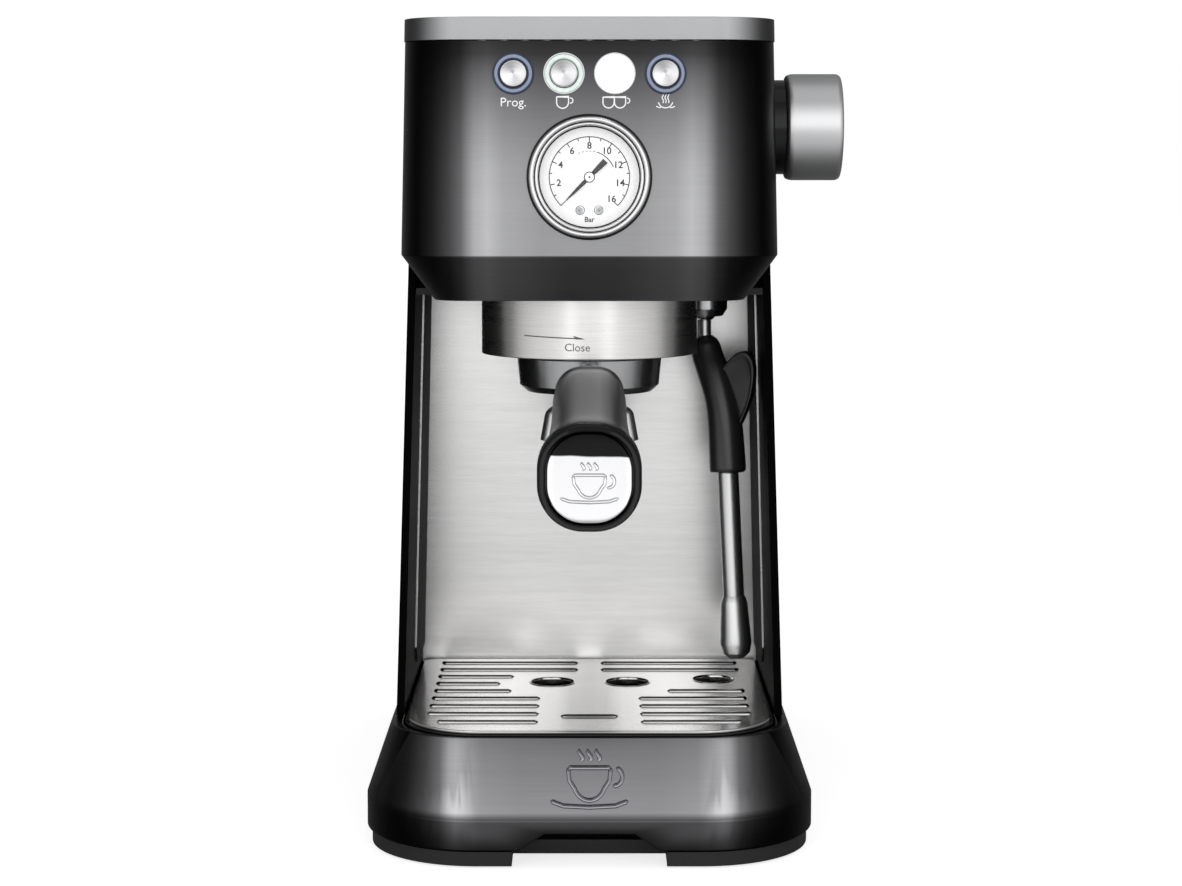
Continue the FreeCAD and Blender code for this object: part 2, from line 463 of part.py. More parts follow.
tab = Part.Face(Part.makePolygon(corners + corners[:1])).extrude(side * 2)
save("wand_sleeve", sleeve.fuse(tab).cut(tube([KNEE, BEND, HIP], 3.1)).cut(tube([HIP, END], 4.9))
     .cut(cyl(WAND_X, WAND_Y, 205, 3.1, 20)))
tip = revolve([(0, 26), (3.2, 26), (6.2, 23.6), (7.4, 19), (6.2, 0), (5.2, -3), (0, -3)], END, tuple(run))
save("wand_tip", tip.cut(Part.makeCylinder(4.92, 10, V(*END) - run * (10.0 / run.Length), run)))

# ---- water and steam works ----
save("thermoblock", box(-40, 22, -96, 6, 262, 306).cut(cyl(0, GROUP_Y, 250, 2.6, 20)))
save("solenoid_valve", box(34, 56, 4, 30, 262, 300).fuse(cyl(45, 17, 300, 8, 14)))
pump = cyl(PUMP_X, PUMP_Y, 74, 17, 60).fuse(cyl(PUMP_X, PUMP_Y, 134, 9, 34))
save("pump", pump.fuse(cyl(PUMP_X, PUMP_Y, 58, 5, 16)))
hoses = [tube([(0, OUTLET_Y, 56), (0, OUTLET_Y, 30), (-48, 100, 30), (-48, 62, 40), (-48, 62, 57.8)], 3.4),
         tube([(-48, 62, 168.2), (-48, 62, 276), (-20, 60, 284), (-20, 6.2, 284)], 3.0),
         tube([(22.2, -20, 284), (45, -20, 284), (45, 3.8, 284)], 2.6),
         tube([(46, KNOB_Y + 14.4, 304), (46, -70, 290), (WAND_X, WAND_Y, 280), (WAND_X, WAND_Y, 243)], 2.4),
         tube([(0, GROUP_Y, 258.0), (0, GROUP_Y, 262.0)], 4.0),
         tube([(0, FACE + 16.2, GAUGE_Z), (0, -120, GAUGE_Z), (-10, -97.2, GAUGE_Z)], 1.6)]
save("hoses", hoses)
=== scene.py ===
# %% [markdown]
# # Espresso machine, dressed on its CAD frame
# The CAD model already fixes every place and every joint. This script loads it, gives each
# piece a finish, rebuilds the pieces whose looks need more than CAD faces, and lights them.
# Lengths in the helpers below are millimetres, and make() turns them into metres.

# %% Load the frame
import json
import math
import bmesh
import bpy
from mathutils import Matrix, Vector
from mathutils.bvhtree import BVHTree


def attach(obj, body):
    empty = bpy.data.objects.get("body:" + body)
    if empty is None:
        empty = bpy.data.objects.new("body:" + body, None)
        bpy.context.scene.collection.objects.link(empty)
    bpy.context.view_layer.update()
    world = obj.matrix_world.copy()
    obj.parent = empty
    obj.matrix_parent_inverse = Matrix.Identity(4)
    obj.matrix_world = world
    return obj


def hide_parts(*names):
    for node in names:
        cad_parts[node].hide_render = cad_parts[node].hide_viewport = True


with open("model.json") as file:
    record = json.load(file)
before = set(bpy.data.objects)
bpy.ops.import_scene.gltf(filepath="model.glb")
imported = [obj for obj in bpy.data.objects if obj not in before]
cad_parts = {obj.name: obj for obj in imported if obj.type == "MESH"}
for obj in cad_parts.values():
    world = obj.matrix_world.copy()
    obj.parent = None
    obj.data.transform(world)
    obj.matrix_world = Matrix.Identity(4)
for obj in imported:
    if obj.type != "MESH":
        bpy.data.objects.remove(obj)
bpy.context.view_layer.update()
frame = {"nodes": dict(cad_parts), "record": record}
nodes = frame["nodes"]
home = {node: body for body, members in frame["record"]["behaviour"]["bodies"].items() for node in members}

# %% [markdown]
# ## Shader sums
# A finish is a tree of nodes. Writing every Math node by hand hides the idea, so a small class
# wraps a socket and lets Python operators add the Math nodes. Colours stay out of it, because
# a Math node would turn them grey.

# %% A node, and a number on a node tree
def new_node(tree, kind, settings, sockets):
    """Add a node: first its settings, then values or links for its inputs."""
    made = tree.nodes.new(kind)
    for key, value in settings.items():
        setattr(made, key, value)
    for key, value in sockets.items():
        value = value.socket if isinstance(value, Value) else value
        if isinstance(value, bpy.types.NodeSocket):
            tree.links.new(value, made.inputs[key])
        else:
            made.inputs[key].default_value = value
    return made


class Value:
    def __init__(self, paint, socket):
        self.paint, self.socket = paint, socket

    def sum_with(self, operation, other, swap=False):
        pair = (other, self) if swap else (self, other)
        node = self.paint.node("ShaderNodeMath", {"operation": operation}, {0: pair[0], 1: pair[1]})
        return Value(self.paint, node.outputs[0])

    def __add__(self, other):
        return self.sum_with("ADD", other)

    def __sub__(self, other):
        return self.sum_with("SUBTRACT", other)

    def __rsub__(self, other):
        return self.sum_with("SUBTRACT", other, True)

    def __mul__(self, other):
        return self.sum_with("MULTIPLY", other)

    def __truediv__(self, other):
        return self.sum_with("DIVIDE", other)

    def above(self, other):
        return self.sum_with("GREATER_THAN", other)

    def power(self, other):
        return self.sum_with("POWER", other)

    def limited(self):
        node = self.paint.node("ShaderNodeClamp", {}, {0: self})
        return Value(self.paint, node.outputs[0])

    __radd__ = __add__
    __rmul__ = __mul__


# %% A finish made of nodes
def linear(code):
    """Linear colour of a six-digit screen colour."""
    parts = [int(code[i:i + 2], 16) / 255 for i in (0, 2, 4)]
    return [c / 12.92 if c <= 0.04045 else ((c + 0.055) / 1.055) ** 2.4 for c in parts] + [1.0]


class Paint:
    def __init__(self, name, tree=None):
        if tree is None:
            self.material = bpy.data.materials.new(name)
            self.material.use_nodes = True
            tree = self.material.node_tree
        self.tree = tree
        self.tree.nodes.clear()

    def node(self, kind, settings, sockets):
        return new_node(self.tree, kind, settings, sockets)

    def place(self, scale=(1, 1, 1), centre=(0, 0, 0)):
        """Object coordinates in metres, stretched by scale."""
        where = self.node("ShaderNodeTexCoord", {}, {}).outputs["Object"]
        settings = {"Vector": where, "Scale": scale}
        settings["Location"] = [-c * s for c, s in zip(centre, scale)]
        return self.node("ShaderNodeMapping", {}, settings).outputs[0]

    def axes(self, vector):
        parts = self.node("ShaderNodeSeparateXYZ", {}, {0: vector})
        return [Value(self, parts.outputs[i]) for i in range(3)]

    def noise(self, scale, detail=3.0, rough=0.55):
        """Noise between 0 and 1 whose blobs are about 1/scale metres."""
        scale = scale if isinstance(scale, tuple) else (scale,) * 3
        sockets = {"Vector": self.place(scale), "Scale": 1.0, "Detail": detail, "Roughness": rough}
        made = self.node("ShaderNodeTexNoise", {}, sockets)
        return Value(self, made.outputs[0])

    def mix(self, factor, a, b):
        made = self.node("ShaderNodeMix", {"data_type": "RGBA"}, {0: factor, 6: a, 7: b})
        return made.outputs[2]

    def ramp(self, value, stops):
        """Value that follows stops of (position, level) as value runs from 0 to 1."""
        made = self.tree.nodes.new("ShaderNodeValToRGB")
        marks = made.color_ramp.elements
        while len(marks) < len(stops):
            marks.new(1.0)
        for mark, (at, level) in zip(marks, stops):
            mark.position, mark.color = at, (level, level, level, 1)
        self.tree.links.new(value.socket, made.inputs[0])
        return Value(self, made.outputs[0])

    def done(self, colour, roughness, metallic=0.0, height=None, depth=0.00002, more=None):
        sockets = {"Base Color": colour, "Roughness": roughness, "Metallic": metallic}
        if height is not None:
            bump = self.node("ShaderNodeBump", {}, {"Height": height, "Distance": depth, "Strength": 1.0})
            sockets["Normal"] = bump.outputs[0]
        sockets.update(more or {})
        shader = self.node("ShaderNodeBsdfPrincipled", {}, sockets)
        self.node("ShaderNodeOutputMaterial", {}, {0: shader.outputs[0]})
        return self.material


finishes = {}

# %% [markdown]
# ## Brushed and blasted metals
# A brushed sheet carries thousands of parallel scratches. Noise stretched along one direction
# draws them: fine across the grain, long along it. The same noise shifts the colour a little,
# the roughness a little and tilts the surface, so highlights break up into streaks.

# %% Brushed metals
def brushed(name, dark, light, rough, grain, swing=0.10, depth=0.000004, streak=0.15, across=None):
    """Steel with scratches along the axis whose grain number is small; across paints a dark reflection in
    from side to side.
    """
    paint = Paint(name)
    fine = paint.noise(tuple(g * 2600 + 14 for g in grain), 3.0, 0.6)
    broad = paint.noise(tuple(g * 420 + 5 for g in grain), 2.0, 0.5)
    cloud = paint.noise(9.0, 2.0)
    tone = (fine * (0.95 - streak) + broad * streak + (cloud - 0.5) * 0.25).limited()
    colour = paint.mix(tone, linear(dark), linear(light))
    # painted reflection: across darkens the steel towards near black by its place from left to right
    if across:
        x, y, z = paint.axes(paint.place())
        colour = paint.mix(paint.ramp((x * 5.0 + 0.5).limited(), across), linear("101012"), colour)
    finishes[name] = paint.done(colour, (broad - 0.5) * swing + (cloud - 0.5) * 0.05 + rough, 1.0,
                                fine, depth)


def shaded_paint(name, across, up, z_range, band, y_limit=0.0):
    """Dark metallic paint with painted light: a painted lit middle that sinks to near-black painted shade
    at the edges.
    """
    paint = Paint(name)
    fine = paint.noise((26.0, 26.0, 2600.0), 3.0, 0.6)
    broad = paint.noise((9.0, 9.0, 420.0), 2.0, 0.5)
    x, y, z = paint.axes(paint.place())
    # painted light: width and height give the lit middle and the painted shade at its edges
    width = paint.ramp((x * 5.0 + 0.5).limited(), across)
    height = paint.ramp(((z - z_range[0]) / (z_range[1] - z_range[0])).limited(), up)
    tone = width * height
    # painted shade: with y_limit, everything behind it is painted dark
    if y_limit:
        tone = tone * (y_limit - y).above(0.0)
    # painted light: a lit band painted below the height band[0]
    tone = tone + (band[0] - z).above(0.0) * width * band[1]
    # a little lighter on faces further back than y = -0.13 m
    tone = tone + ((y + 0.13) * 25.0).limited() * 0.045
    tone = tone * ((fine - 0.5) * 0.16 + (broad - 0.5) * 0.10 + 1.0)
    colour = paint.mix(tone.limited(), linear("070708"), linear("dbdbde"))
    finishes[name] = paint.done(colour, (broad - 0.5) * 0.08 + 0.33, 1.0, fine, 0.000003)


def both_ways(half):
    """Mirror stops of (millimetres from the middle, level) onto a 200 mm wide ramp."""
    right = [(0.5 + mm / 200, level) for mm, level in half]
    return [(1 - at, level) for at, level in reversed(right)] + right


# Painted light and shade of the head and the base: how light the paint is across each front, in millimetres
# from the middle, and up it
HEAD_PAINTED_LIGHT_ACROSS = [(20, 0.44), (36, 0.53), (43, 0.68), (48.5, 0.55), (54, 0.18), (59, 0.07), (66, 0.022),
               (73, 0.004)]
HEAD_PAINTED_LIGHT_UP = [(0, 0.05), (0.068, 0.05), (0.078, 1.0), (0.30, 0.95), (0.45, 0.85), (0.61, 0.62),
           (0.74, 0.40), (0.86, 0.21), (0.92, 0.10), (1.0, 0.05)]
BASE_PAINTED_LIGHT_ACROSS = [(30, 0.37), (46, 0.42), (52, 0.56), (57, 0.74), (60, 0.66), (64, 0.28), (70, 0.12),
               (78, 0.05), (86, 0.02)]
BASE_PAINTED_LIGHT_UP = [(0, 0.0), (0.26, 0.0), (0.31, 0.42), (0.35, 1.0), (0.90, 0.95), (0.965, 0.85), (0.985, 0.0)]
# Painted reflection on the drip plate: a dark band down the middle, where the steel would mirror the
# portafilter
PLATE_PAINTED_REFLECTION = [(1, 0.48), (8, 0.54), (15, 0.80), (35, 0.97)]
# The dark paint of the head and of the base carries painted light and shade across their fronts
shaded_paint("gunmetal", both_ways(HEAD_PAINTED_LIGHT_ACROSS), HEAD_PAINTED_LIGHT_UP, (0.252, 0.352), (0.2594, 0.60))
shaded_paint("base_paint", both_ways(BASE_PAINTED_LIGHT_ACROSS), BASE_PAINTED_LIGHT_UP, (0.0085, 0.0545), (0.0215, 0.17), -0.137)
brushed("splash_steel", "dddcdb", "ffffff", 0.25, (0.030, 0.030, 1.0), 0.04, 0.000001, 0.42)
brushed("stainless", "dad9d7", "fbfaf9", 0.28, (0.01, 0.01, 1.0))
# the drip plate's steel carries that painted dark reflection
brushed("plate_steel", "cfcecc", "f3f2f1", 0.18, (0.006, 1.0, 1.0), 0.06, 0.000003, 0.35,
        both_ways(PLATE_PAINTED_REFLECTION))
brushed("emblem_steel", "8a8a8f", "b2b2b7", 0.28, (0.02, 0.02, 1.0))
print("brushed finishes", sorted(finishes))


# %% Blasted and cast metals
def blasted(name, dark, light, rough, size, depth, across=None):
    """Blasted metal; across paints shade in from the left edge to the right."""
    paint = Paint(name)
    grit = paint.noise(size, 2.0, 0.6)
    cloud = paint.noise(25.0, 2.0)
    colour = paint.mix((grit * 0.7 + cloud * 0.3).limited(), linear(dark), linear(light))
    # painted shade: across darkens the metal towards near black by its place from left to right
    if across:
        x, y, z = paint.axes(paint.place())
        colour = paint.mix(paint.ramp((x * 5.0 + 0.5).limited(), across), linear("101012"), colour)
    finishes[name] = paint.done(colour, (cloud - 0.5) * 0.08 + rough, 1.0, grit, depth)


blasted("satin_grey", "c9cacb", "e2e3e4", 0.36, 4200.0, 0.000004)
# Painted shade on the top cap: darker towards both sides
CAP_PAINTED_SHADE = [(50, 1.0), (62, 0.92), (68, 0.62), (73, 0.36), (77, 0.16)]
blasted("cap_grey", "979899", "b9babb", 0.36, 3200.0, 0.000006, both_ways(CAP_PAINTED_SHADE))
blasted("cast_alu", "8d8e90", "b4b5b6", 0.48, 900.0, 0.00006)
blasted("brass", "9c7a3c", "c9a765", 0.30, 700.0, 0.00001)
blasted("zinc", "a2a4a6", "c9cacb", 0.28, 1300.0, 0.000006)
print("blasted finishes done")


# %% [markdown]
# ## Polished metals
# Chrome is almost pure mirror. Real chrome is never quite even: it is wiped, so a smear changes
# its roughness by a few hundredths, and a faint wave bends what it reflects.

# %% Polished metals
def polished(name, dark, light, rough):
    paint = Paint(name)
    smear = paint.noise((60.0, 60.0, 22.0), 3.0, 0.6)
    colour = paint.mix(smear, linear(dark), linear(light))
    finishes[name] = paint.done(colour, (smear - 0.5) * 0.06 + rough, 1.0, paint.noise(260.0, 1.0),
                                0.000002)


polished("chrome", "d4d5d7", "f4f4f5", 0.07)
polished("polished_tube", "d3d4d5", "f2f2f3", 0.36)
polished("bezel_chrome", "dcdcdd", "f8f8f8", 0.24)
polished("dark_chrome", "b2b3b5", "d2d3d4", 0.27)
print("polished finishes done")

# %% [markdown]
# ## Plastics, paint and rubber
# Satin black paint is never one black: it has an orange-peel surface and slow changes of gloss.
# Moulded plastic is rougher with a fine spark-eroded texture, and rubber is duller still.

# %% Painted and moulded finishes
def moulded(name, dark, light, rough, size, depth, shine=0.5, glow=0.0):
    paint = Paint(name)
    skin = paint.noise(size, 2.0, 0.5)
    cloud = paint.noise(14.0, 3.0)
    colour = paint.mix((cloud * 0.6 + skin * 0.4).limited(), linear(dark), linear(light))
    more = {"Specular IOR Level": shine, "Emission Color": colour, "Emission Strength": glow}
    finishes[name] = paint.done(colour, (cloud - 0.5) * 0.10 + rough, 0.0, skin, depth, more)


moulded("black_metal", "131314", "1c1c1d", 0.33, 1500.0, 0.000006, 0.35)
# near-black, almost unreflecting painted shade for faces that should read dark
moulded("painted_shade_black", "020202", "050505", 0.60, 1500.0, 0.000006, 0.02)
moulded("black_plastic", "0c0c0d", "161617", 0.42, 2300.0, 0.000016, 0.3)
moulded("gloss_black", "050506", "0c0c0d", 0.14, 700.0, 0.000004, 0.3)
moulded("satin_black", "29292b", "38383a", 0.40, 2300.0, 0.000010, 0.5)
moulded("black_rubber", "101010", "1e1e1e", 0.50, 1900.0, 0.00003, 0.4)
moulded("wand_rubber", "1c1c1d", "2d2d2e", 0.36, 1900.0, 0.00002, 0.8)
moulded("silicone", "b9b4ad", "d2cec8", 0.50, 800.0, 0.00001)
moulded("board_green", "0e3a22", "1a5232", 0.35, 500.0, 0.00002)
# painted light: the white dial glows a little, though no lamp lights it
moulded("dial_white", "f2f2f2", "fbfbfb", 0.45, 1500.0, 0.000004, 0.5, 0.42)
moulded("ink_black", "111112", "1c1c1e", 0.50, 2600.0, 0.000004)
# painted light: the white print glows a little, though no lamp lights it
moulded("ink_white", "e8e8ea", "fafafa", 0.50, 2600.0, 0.000004, 0.5, 0.25)
moulded("ink_grey", "5a5a5c", "747476", 0.45, 2600.0, 0.000004)
moulded("ring_blue", "8490ac", "9ba7c0", 0.30, 900.0, 0.000004, 0.5, 0.06)
moulded("ring_navy", "101c36", "1c2a48", 0.30, 900.0, 0.000004)
print("moulded finishes done")


# %% Grip plastic
# Painted light across the handle: a highlight in the middle, shade on two flanks, lighter again at the rims
GRIP_PAINTED_LIGHT = [(0.0, 0.45), (0.22, 0.50), (0.28, 0.16), (0.32, 0.14), (0.38, 0.50), (0.50, 0.60),
               (0.58, 0.72), (0.66, 0.46), (0.70, 0.14), (0.74, 0.16), (0.80, 0.52), (1.0, 0.45)]


def grip_finish():
    """Satin plastic of the handle with painted light: a painted highlight along the back between two flanks
    of painted shade.
    """
    paint = Paint("grip_plastic")
    skin = paint.noise(3000.0, 2.0, 0.5)
    x, y, z = paint.axes(paint.place())
    # painted light and shade, by the place across the handle
    back = paint.ramp((x * 20.0 + 0.5).limited(), GRIP_PAINTED_LIGHT)
    colour = paint.mix((back + (skin - 0.5) * 0.06).limited(), linear("161617"), linear("8c8c8e"))
    finishes["grip_plastic"] = paint.done(colour, (skin - 0.5) * 0.06 + 0.36, 0.0, skin, 0.000008,
                                          {"Specular IOR Level": 0.7})


grip_finish()


# %% [markdown]
# ## Lamps, turned caps, mirror and glass
# Four finishes need a rule of their own. A lit ring is a colour that also gives light. A turned
# cap shines in two opposite fans; that shine is a painted highlight whose tone follows the angle
# round its centre. The plate on the handle's end carries a painted reflection of a dark room above
# and a bright table below. Glass and the tank let light through by a low Alpha, which is quick to
# render and never shows black insides.

# %% Lit rings
def lit(name, glow, strength):
    paint = Paint(name)
    ripple = paint.noise(600.0, 1.0)
    colour = paint.mix(ripple, linear(glow), [1, 1, 1, 1])
    finishes[name] = paint.done(colour, 0.4, 0.0, None, 0, {"Emission Color": colour,
                                                            "Emission Strength": strength})


lit("ring_light", "c4dfd0", 0.22)
lit("cap_light", "ffffff", 1.6)


# %% Spun metal caps
def spun(name, centre):
    """Concentric turning marks round the cap, with the fan-shaped shine they throw painted in as a
    highlight.
    """
    paint = Paint(name)
    x, y, z = paint.axes(paint.place((1, 1, 1), centre))
    radius = (x * x + z * z).power(0.5)
    angle = Value(paint, paint.node("ShaderNodeMath", {"operation": "ARCTAN2"}, {0: z, 1: x}).outputs[0])
    fan = Value(paint, paint.node("ShaderNodeMath", {"operation": "SINE"},
                                  {0: angle * 2.0 + 0.6}).outputs[0])
    rings = Value(paint, paint.node("ShaderNodeMath", {"operation": "SINE"},
                                    {0: radius * 21000.0}).outputs[0])
    # painted highlight: the fan shine is set in the colour by the angle round the centre
    tone = (fan * 0.32 + rings * 0.10 + paint.noise(1500.0) * 0.2 + 0.45).limited()
    finishes[name] = paint.done(paint.mix(tone, linear("a9a8ab"), linear("f1f0f2")), fan * 0.05 + 0.33, 1.0,
                                rings, 0.000002)


# %% Mirror of the handle's end
def end_mirror():
    """Polished plate with a painted reflection: its upper third painted dark for the room, the rest light.
    """
    paint = Paint("end_mirror")
    x, y, z = paint.axes(paint.place())
    edge = z + (paint.noise((90.0, 1.0, 1.0), 1.0) - 0.5) * 0.0016
    # painted reflection: dark above a wavy line, light below
    below = paint.ramp(((edge - 0.1830) / 0.006).limited(), [(0.45, 1.0), (0.55, 0.0)])
    colour = paint.mix(below, linear("1c1c1d"), linear("d3d3d5"))
    finishes["end_mirror"] = paint.done(colour, paint.noise(60.0) * 0.05 + 0.10, 1.0,
                                        paint.noise(260.0, 1.0), 0.000002)


end_mirror()


# %% See-through finishes
def clear(name, tint, alpha, rough):
    paint = Paint(name)
    film = paint.noise((40.0, 40.0, 12.0), 3.0)
    finishes[name] = paint.done(linear(tint), film * 0.04 + rough, 0.0, None, 0,
                                {"Alpha": film * 0.04 + alpha})


clear("clear_glass", "f6f8f8", 0.02, 0.03)
clear("tank_clear", "5c6064", 0.50, 0.09)
print("finishes", len(finishes))

# %% [markdown]
# ## Mesh helpers
# Turned parts come from a profile spun round an axis, printed marks from flat ribbons, tubes
# from rings along a path. Rounding the profile's corners gives every edge its line of light.

# %% Builder for closed meshes
class Builder:
    def __init__(self):
        self.verts, self.faces, self.slots = [], [], []

    def add(self, verts, faces, slot=0, place=None):
        start = len(self.verts)
        self.verts += [tuple(place @ Vector(v)) if place else tuple(v) for v in verts]
        self.faces += [[i + start for i in f] for f in faces]
        self.slots += [slot] * len(faces)
        return self

    def rings(self, loops, slot=0, place=None, cap=True, closed=False):
        """Skin over a list of equal loops of points."""
        n = len(loops[0])
        verts = [p for loop in loops for p in loop]
        faces = []
        for k in range(len(loops) if closed else len(loops) - 1):
            a, b = k * n, (k + 1) % len(loops) * n
            faces += [[a + i, a + (i + 1) % n, b + (i + 1) % n, b + i] for i in range(n)]
        if cap and not closed:
            faces.append(list(range(n))[::-1])
            faces.append([len(verts) - n + i for i in range(n)])
        return self.add(verts, faces, slot, place)

    def make(self, name, finish, angle=35):
        mesh = bpy.data.meshes.new(name)
        mesh.from_pydata([[c * 0.001 for c in v] for v in self.verts], [], self.faces)
        for one in [finish] if isinstance(finish, str) else finish:
            mesh.materials.append(finishes[one])
        for face, slot in zip(mesh.polygons, self.slots):
            face.material_index = slot
        tidy_mesh(mesh, angle)
        return show(name, mesh)


def show(name, mesh, even=True):
    made = bpy.data.objects.new(name, mesh)
    bpy.context.scene.collection.objects.link(made)
    if even:
        weigh = made.modifiers.new("even_shading", "WEIGHTED_NORMAL")
        weigh.keep_sharp, weigh.weight = True, 60
    return made


def tidy_mesh(mesh, angle):
    """Weld, face outwards, and keep edges sharper than angle crisp."""
    work = bmesh.new()
    work.from_mesh(mesh)
    bmesh.ops.remove_doubles(work, verts=work.verts, dist=0.000002)
    bmesh.ops.recalc_face_normals(work, faces=work.faces)
    work.to_mesh(mesh)
    work.free()
    mesh.shade_smooth()
    mesh.set_sharp_from_angle(angle=math.radians(angle))


def standing(centre, axis=(0, 0, 1)):
    """Place whose local Z runs along axis."""
    spin = Vector(axis).to_track_quat("Z", "Y").to_matrix().to_4x4()
    return Matrix.Translation(Vector(centre)) @ spin


def rounded(points, radius, steps=4):
    """The same closed outline with its corners rounded."""
    out, n = [], len(points)
    for i, here in enumerate(points):
        here, before, after = Vector(here), Vector(points[i - 1]), Vector(points[(i + 1) % n])
        r = min(radius, (before - here).length * 0.48, (after - here).length * 0.48)
        a, b = here + (before - here).normalized() * r, here + (after - here).normalized() * r
        for k in range(steps + 1):
            t = k / steps
            out.append(tuple(a * (1 - t) ** 2 + here * 2 * t * (1 - t) + b * t ** 2))
    return out


def turned(builder, profile, place, steps=64, slot=0, soft=0.4):
    """Closed profile of (radius, height) spun round local Z, with softened corners."""
    outline = rounded(profile, soft, 3)
    loops = []
    for k in range(steps):
        a = 2 * math.pi * k / steps
        loops.append([(r * math.cos(a), r * math.sin(a), h) for r, h in outline])
    n = len(outline)
    verts = [p for loop in loops for p in loop]
    faces = []
    for k in range(steps):
        a, b = k * n, (k + 1) % steps * n
        for i in range(n):
            j = (i + 1) % n
            faces.append([a + i, b + i, b + j, a + j])
    return builder.add(verts, faces, slot, place)


def ribbon(builder, points, width, depth, place, slot=0, closed=False):
    """Flat line of even width through 2-D points, as a thin solid from 0 to depth."""
    pts = [Vector(p) for p in points]
    n = len(pts)
    loops = []
    for i, p in enumerate(pts):
        before = pts[i - 1] if closed or i else p
        after = pts[(i + 1) % n] if closed or i < n - 1 else p
        way = (after - before).normalized()
        side = Vector((-way.y, way.x)) * width / 2
        if before != p and after != p:
            bend = max(0.5, (p - before).normalized().dot(way))
            side = side / bend
        a, b = p + side, p - side
        loops.append([(a.x, a.y, 0), (b.x, b.y, 0), (b.x, b.y, depth), (a.x, a.y, depth)])
    return builder.rings(loops, slot, place, True, closed)


def arc(radius, start, end, steps=24, centre=(0, 0)):
    """Points of an arc, angles in degrees."""
    out = []
    for k in range(steps + 1):
        a = math.radians(start + (end - start) * k / steps)
        out.append((centre[0] + radius * math.cos(a), centre[1] + radius * math.sin(a)))
    return out


FACING = Matrix(((1, 0, 0, 0), (0, 0, -1, 0), (0, 1, 0, 0), (0, 0, 0, 1)))


def front(x, y, z):
    """Place on a surface that faces the user: local X right, local Y up, local Z outwards."""
    return Matrix.Translation((x, y, z)) @ FACING


# %% [markdown]
# ## Words and cut sheets
# Blender's text and flat curves fill themselves and round their own edges. They are turned into
# plain meshes first, and only then moved to their place, so nothing is left unapplied.

# %% Lettering and flat cut-outs
def from_curve(curve, place):
    """Mesh of a flat curve or text, moved to its place in millimetres."""
    holder = bpy.data.objects.new("holder", curve)
    bpy.context.scene.collection.objects.link(holder)
    bpy.context.view_layer.update()
    graph = bpy.context.evaluated_depsgraph_get()
    mesh = bpy.data.meshes.new_from_object(holder.evaluated_get(graph))
    bpy.data.objects.remove(holder)
    verts = [place @ v.co for v in mesh.vertices]
    faces = [list(p.vertices) for p in mesh.polygons]
    bpy.data.meshes.remove(mesh)
    return verts, faces


def lettering(builder, words, size, place, depth=0.12, slot=0, heavy=0.0):
    curve = bpy.data.curves.new("letters", "FONT")
    curve.body, curve.size, curve.extrude = words, size, depth / 2
    curve.align_x, curve.align_y = "CENTER", "CENTER"
    curve.offset = heavy
    curve.resolution_u = 3
    return builder.add(*from_curve(curve, place), slot)


def cut_sheet(outline, holes, thick, edge, place):
    """Flat sheet with holes and rounded edges, between 0 and thick along local Z."""
    curve = bpy.data.curves.new("sheet", "CURVE")
    curve.dimensions, curve.fill_mode = "2D", "BOTH"
    curve.extrude, curve.bevel_depth = thick / 2 - edge, edge
    curve.bevel_resolution, curve.offset = 2, -edge
    for loop in [outline] + holes:
        line = curve.splines.new("POLY")
        line.points.add(len(loop) - 1)
        for point, (x, y) in zip(line.points, loop):
            point.co = (x, y, 0, 1)
        line.use_cyclic_u = True
    return from_curve(curve, place @ Matrix.Translation((0, 0, thick / 2)))


def soft_box(hw_front, hw_back, y0, y1, r_front, r_back, steps=12):
    """Plan outline with straight sides and rounded corners."""
    out = arc(r_front, 180, 270, steps, (-hw_front + r_front, y0 + r_front))
    out += arc(r_front, 270, 360, steps, (hw_front - r_front, y0 + r_front))
    out += arc(r_back, 0, 90, steps, (hw_back - r_back, y1 - r_back))
    return out + arc(r_back, 90, 180, steps, (-hw_back + r_back, y1 - r_back))


def put(made, body, slot, *stands_for):
    """Bind a finished piece to its body and hide the CAD nodes it stands for."""
    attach(made, body)
    if stands_for:
        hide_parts(*stands_for)
    return made


print("helpers ready")

# %% [markdown]
# ## Sheet metal and mouldings straight from the CAD
# Many pieces already have the right shape. A copy of the CAD mesh is welded, its flat parts
# are merged into whole faces, and a small bevel rounds the edges, since a real folded or
# moulded edge is never perfectly sharp. Where a sheet takes two finishes, a rule picks one by
# the way a face points: the second is near-black painted shade, on the niche's side walls, the
# side panels' front edges and the splash's side flanges.

# %% Dress CAD nodes
def dressed(node, finish, slot, edge=0.35, rule=None):
    """Show a CAD node with a finish; edge is the width of its rounded edges in millimetres."""
    mesh = nodes[node].data.copy()
    mesh.name = node + "_dressed"
    work = bmesh.new()
    work.from_mesh(mesh)
    bmesh.ops.remove_doubles(work, verts=work.verts, dist=0.000004)
    flat = math.radians(1.0)
    bmesh.ops.dissolve_limit(work, angle_limit=flat, verts=work.verts, edges=work.edges)
    if edge:
        limit = math.radians(32)
        sharp = [e for e in work.edges if len(e.link_faces) == 2 and e.calc_face_angle(0) > limit]
        bmesh.ops.bevel(work, geom=sharp, offset=edge * 0.001, offset_type="OFFSET", segments=2,
                        profile=0.5, affect="EDGES", clamp_overlap=True)
    work.to_mesh(mesh)
    work.free()
    if mesh.has_custom_normals:
        mesh.attributes.remove(mesh.attributes["custom_normal"])
    mesh.materials.clear()
    for one in [finish] if isinstance(finish, str) else finish:
        mesh.materials.append(finishes[one])
    for face in mesh.polygons:
        face.material_index = rule(face.normal) if rule else 0
    mesh.shade_smooth()
    mesh.set_sharp_from_angle(angle=math.radians(40))
    return put(show(node + "_dressed", mesh), home[node], slot, node)


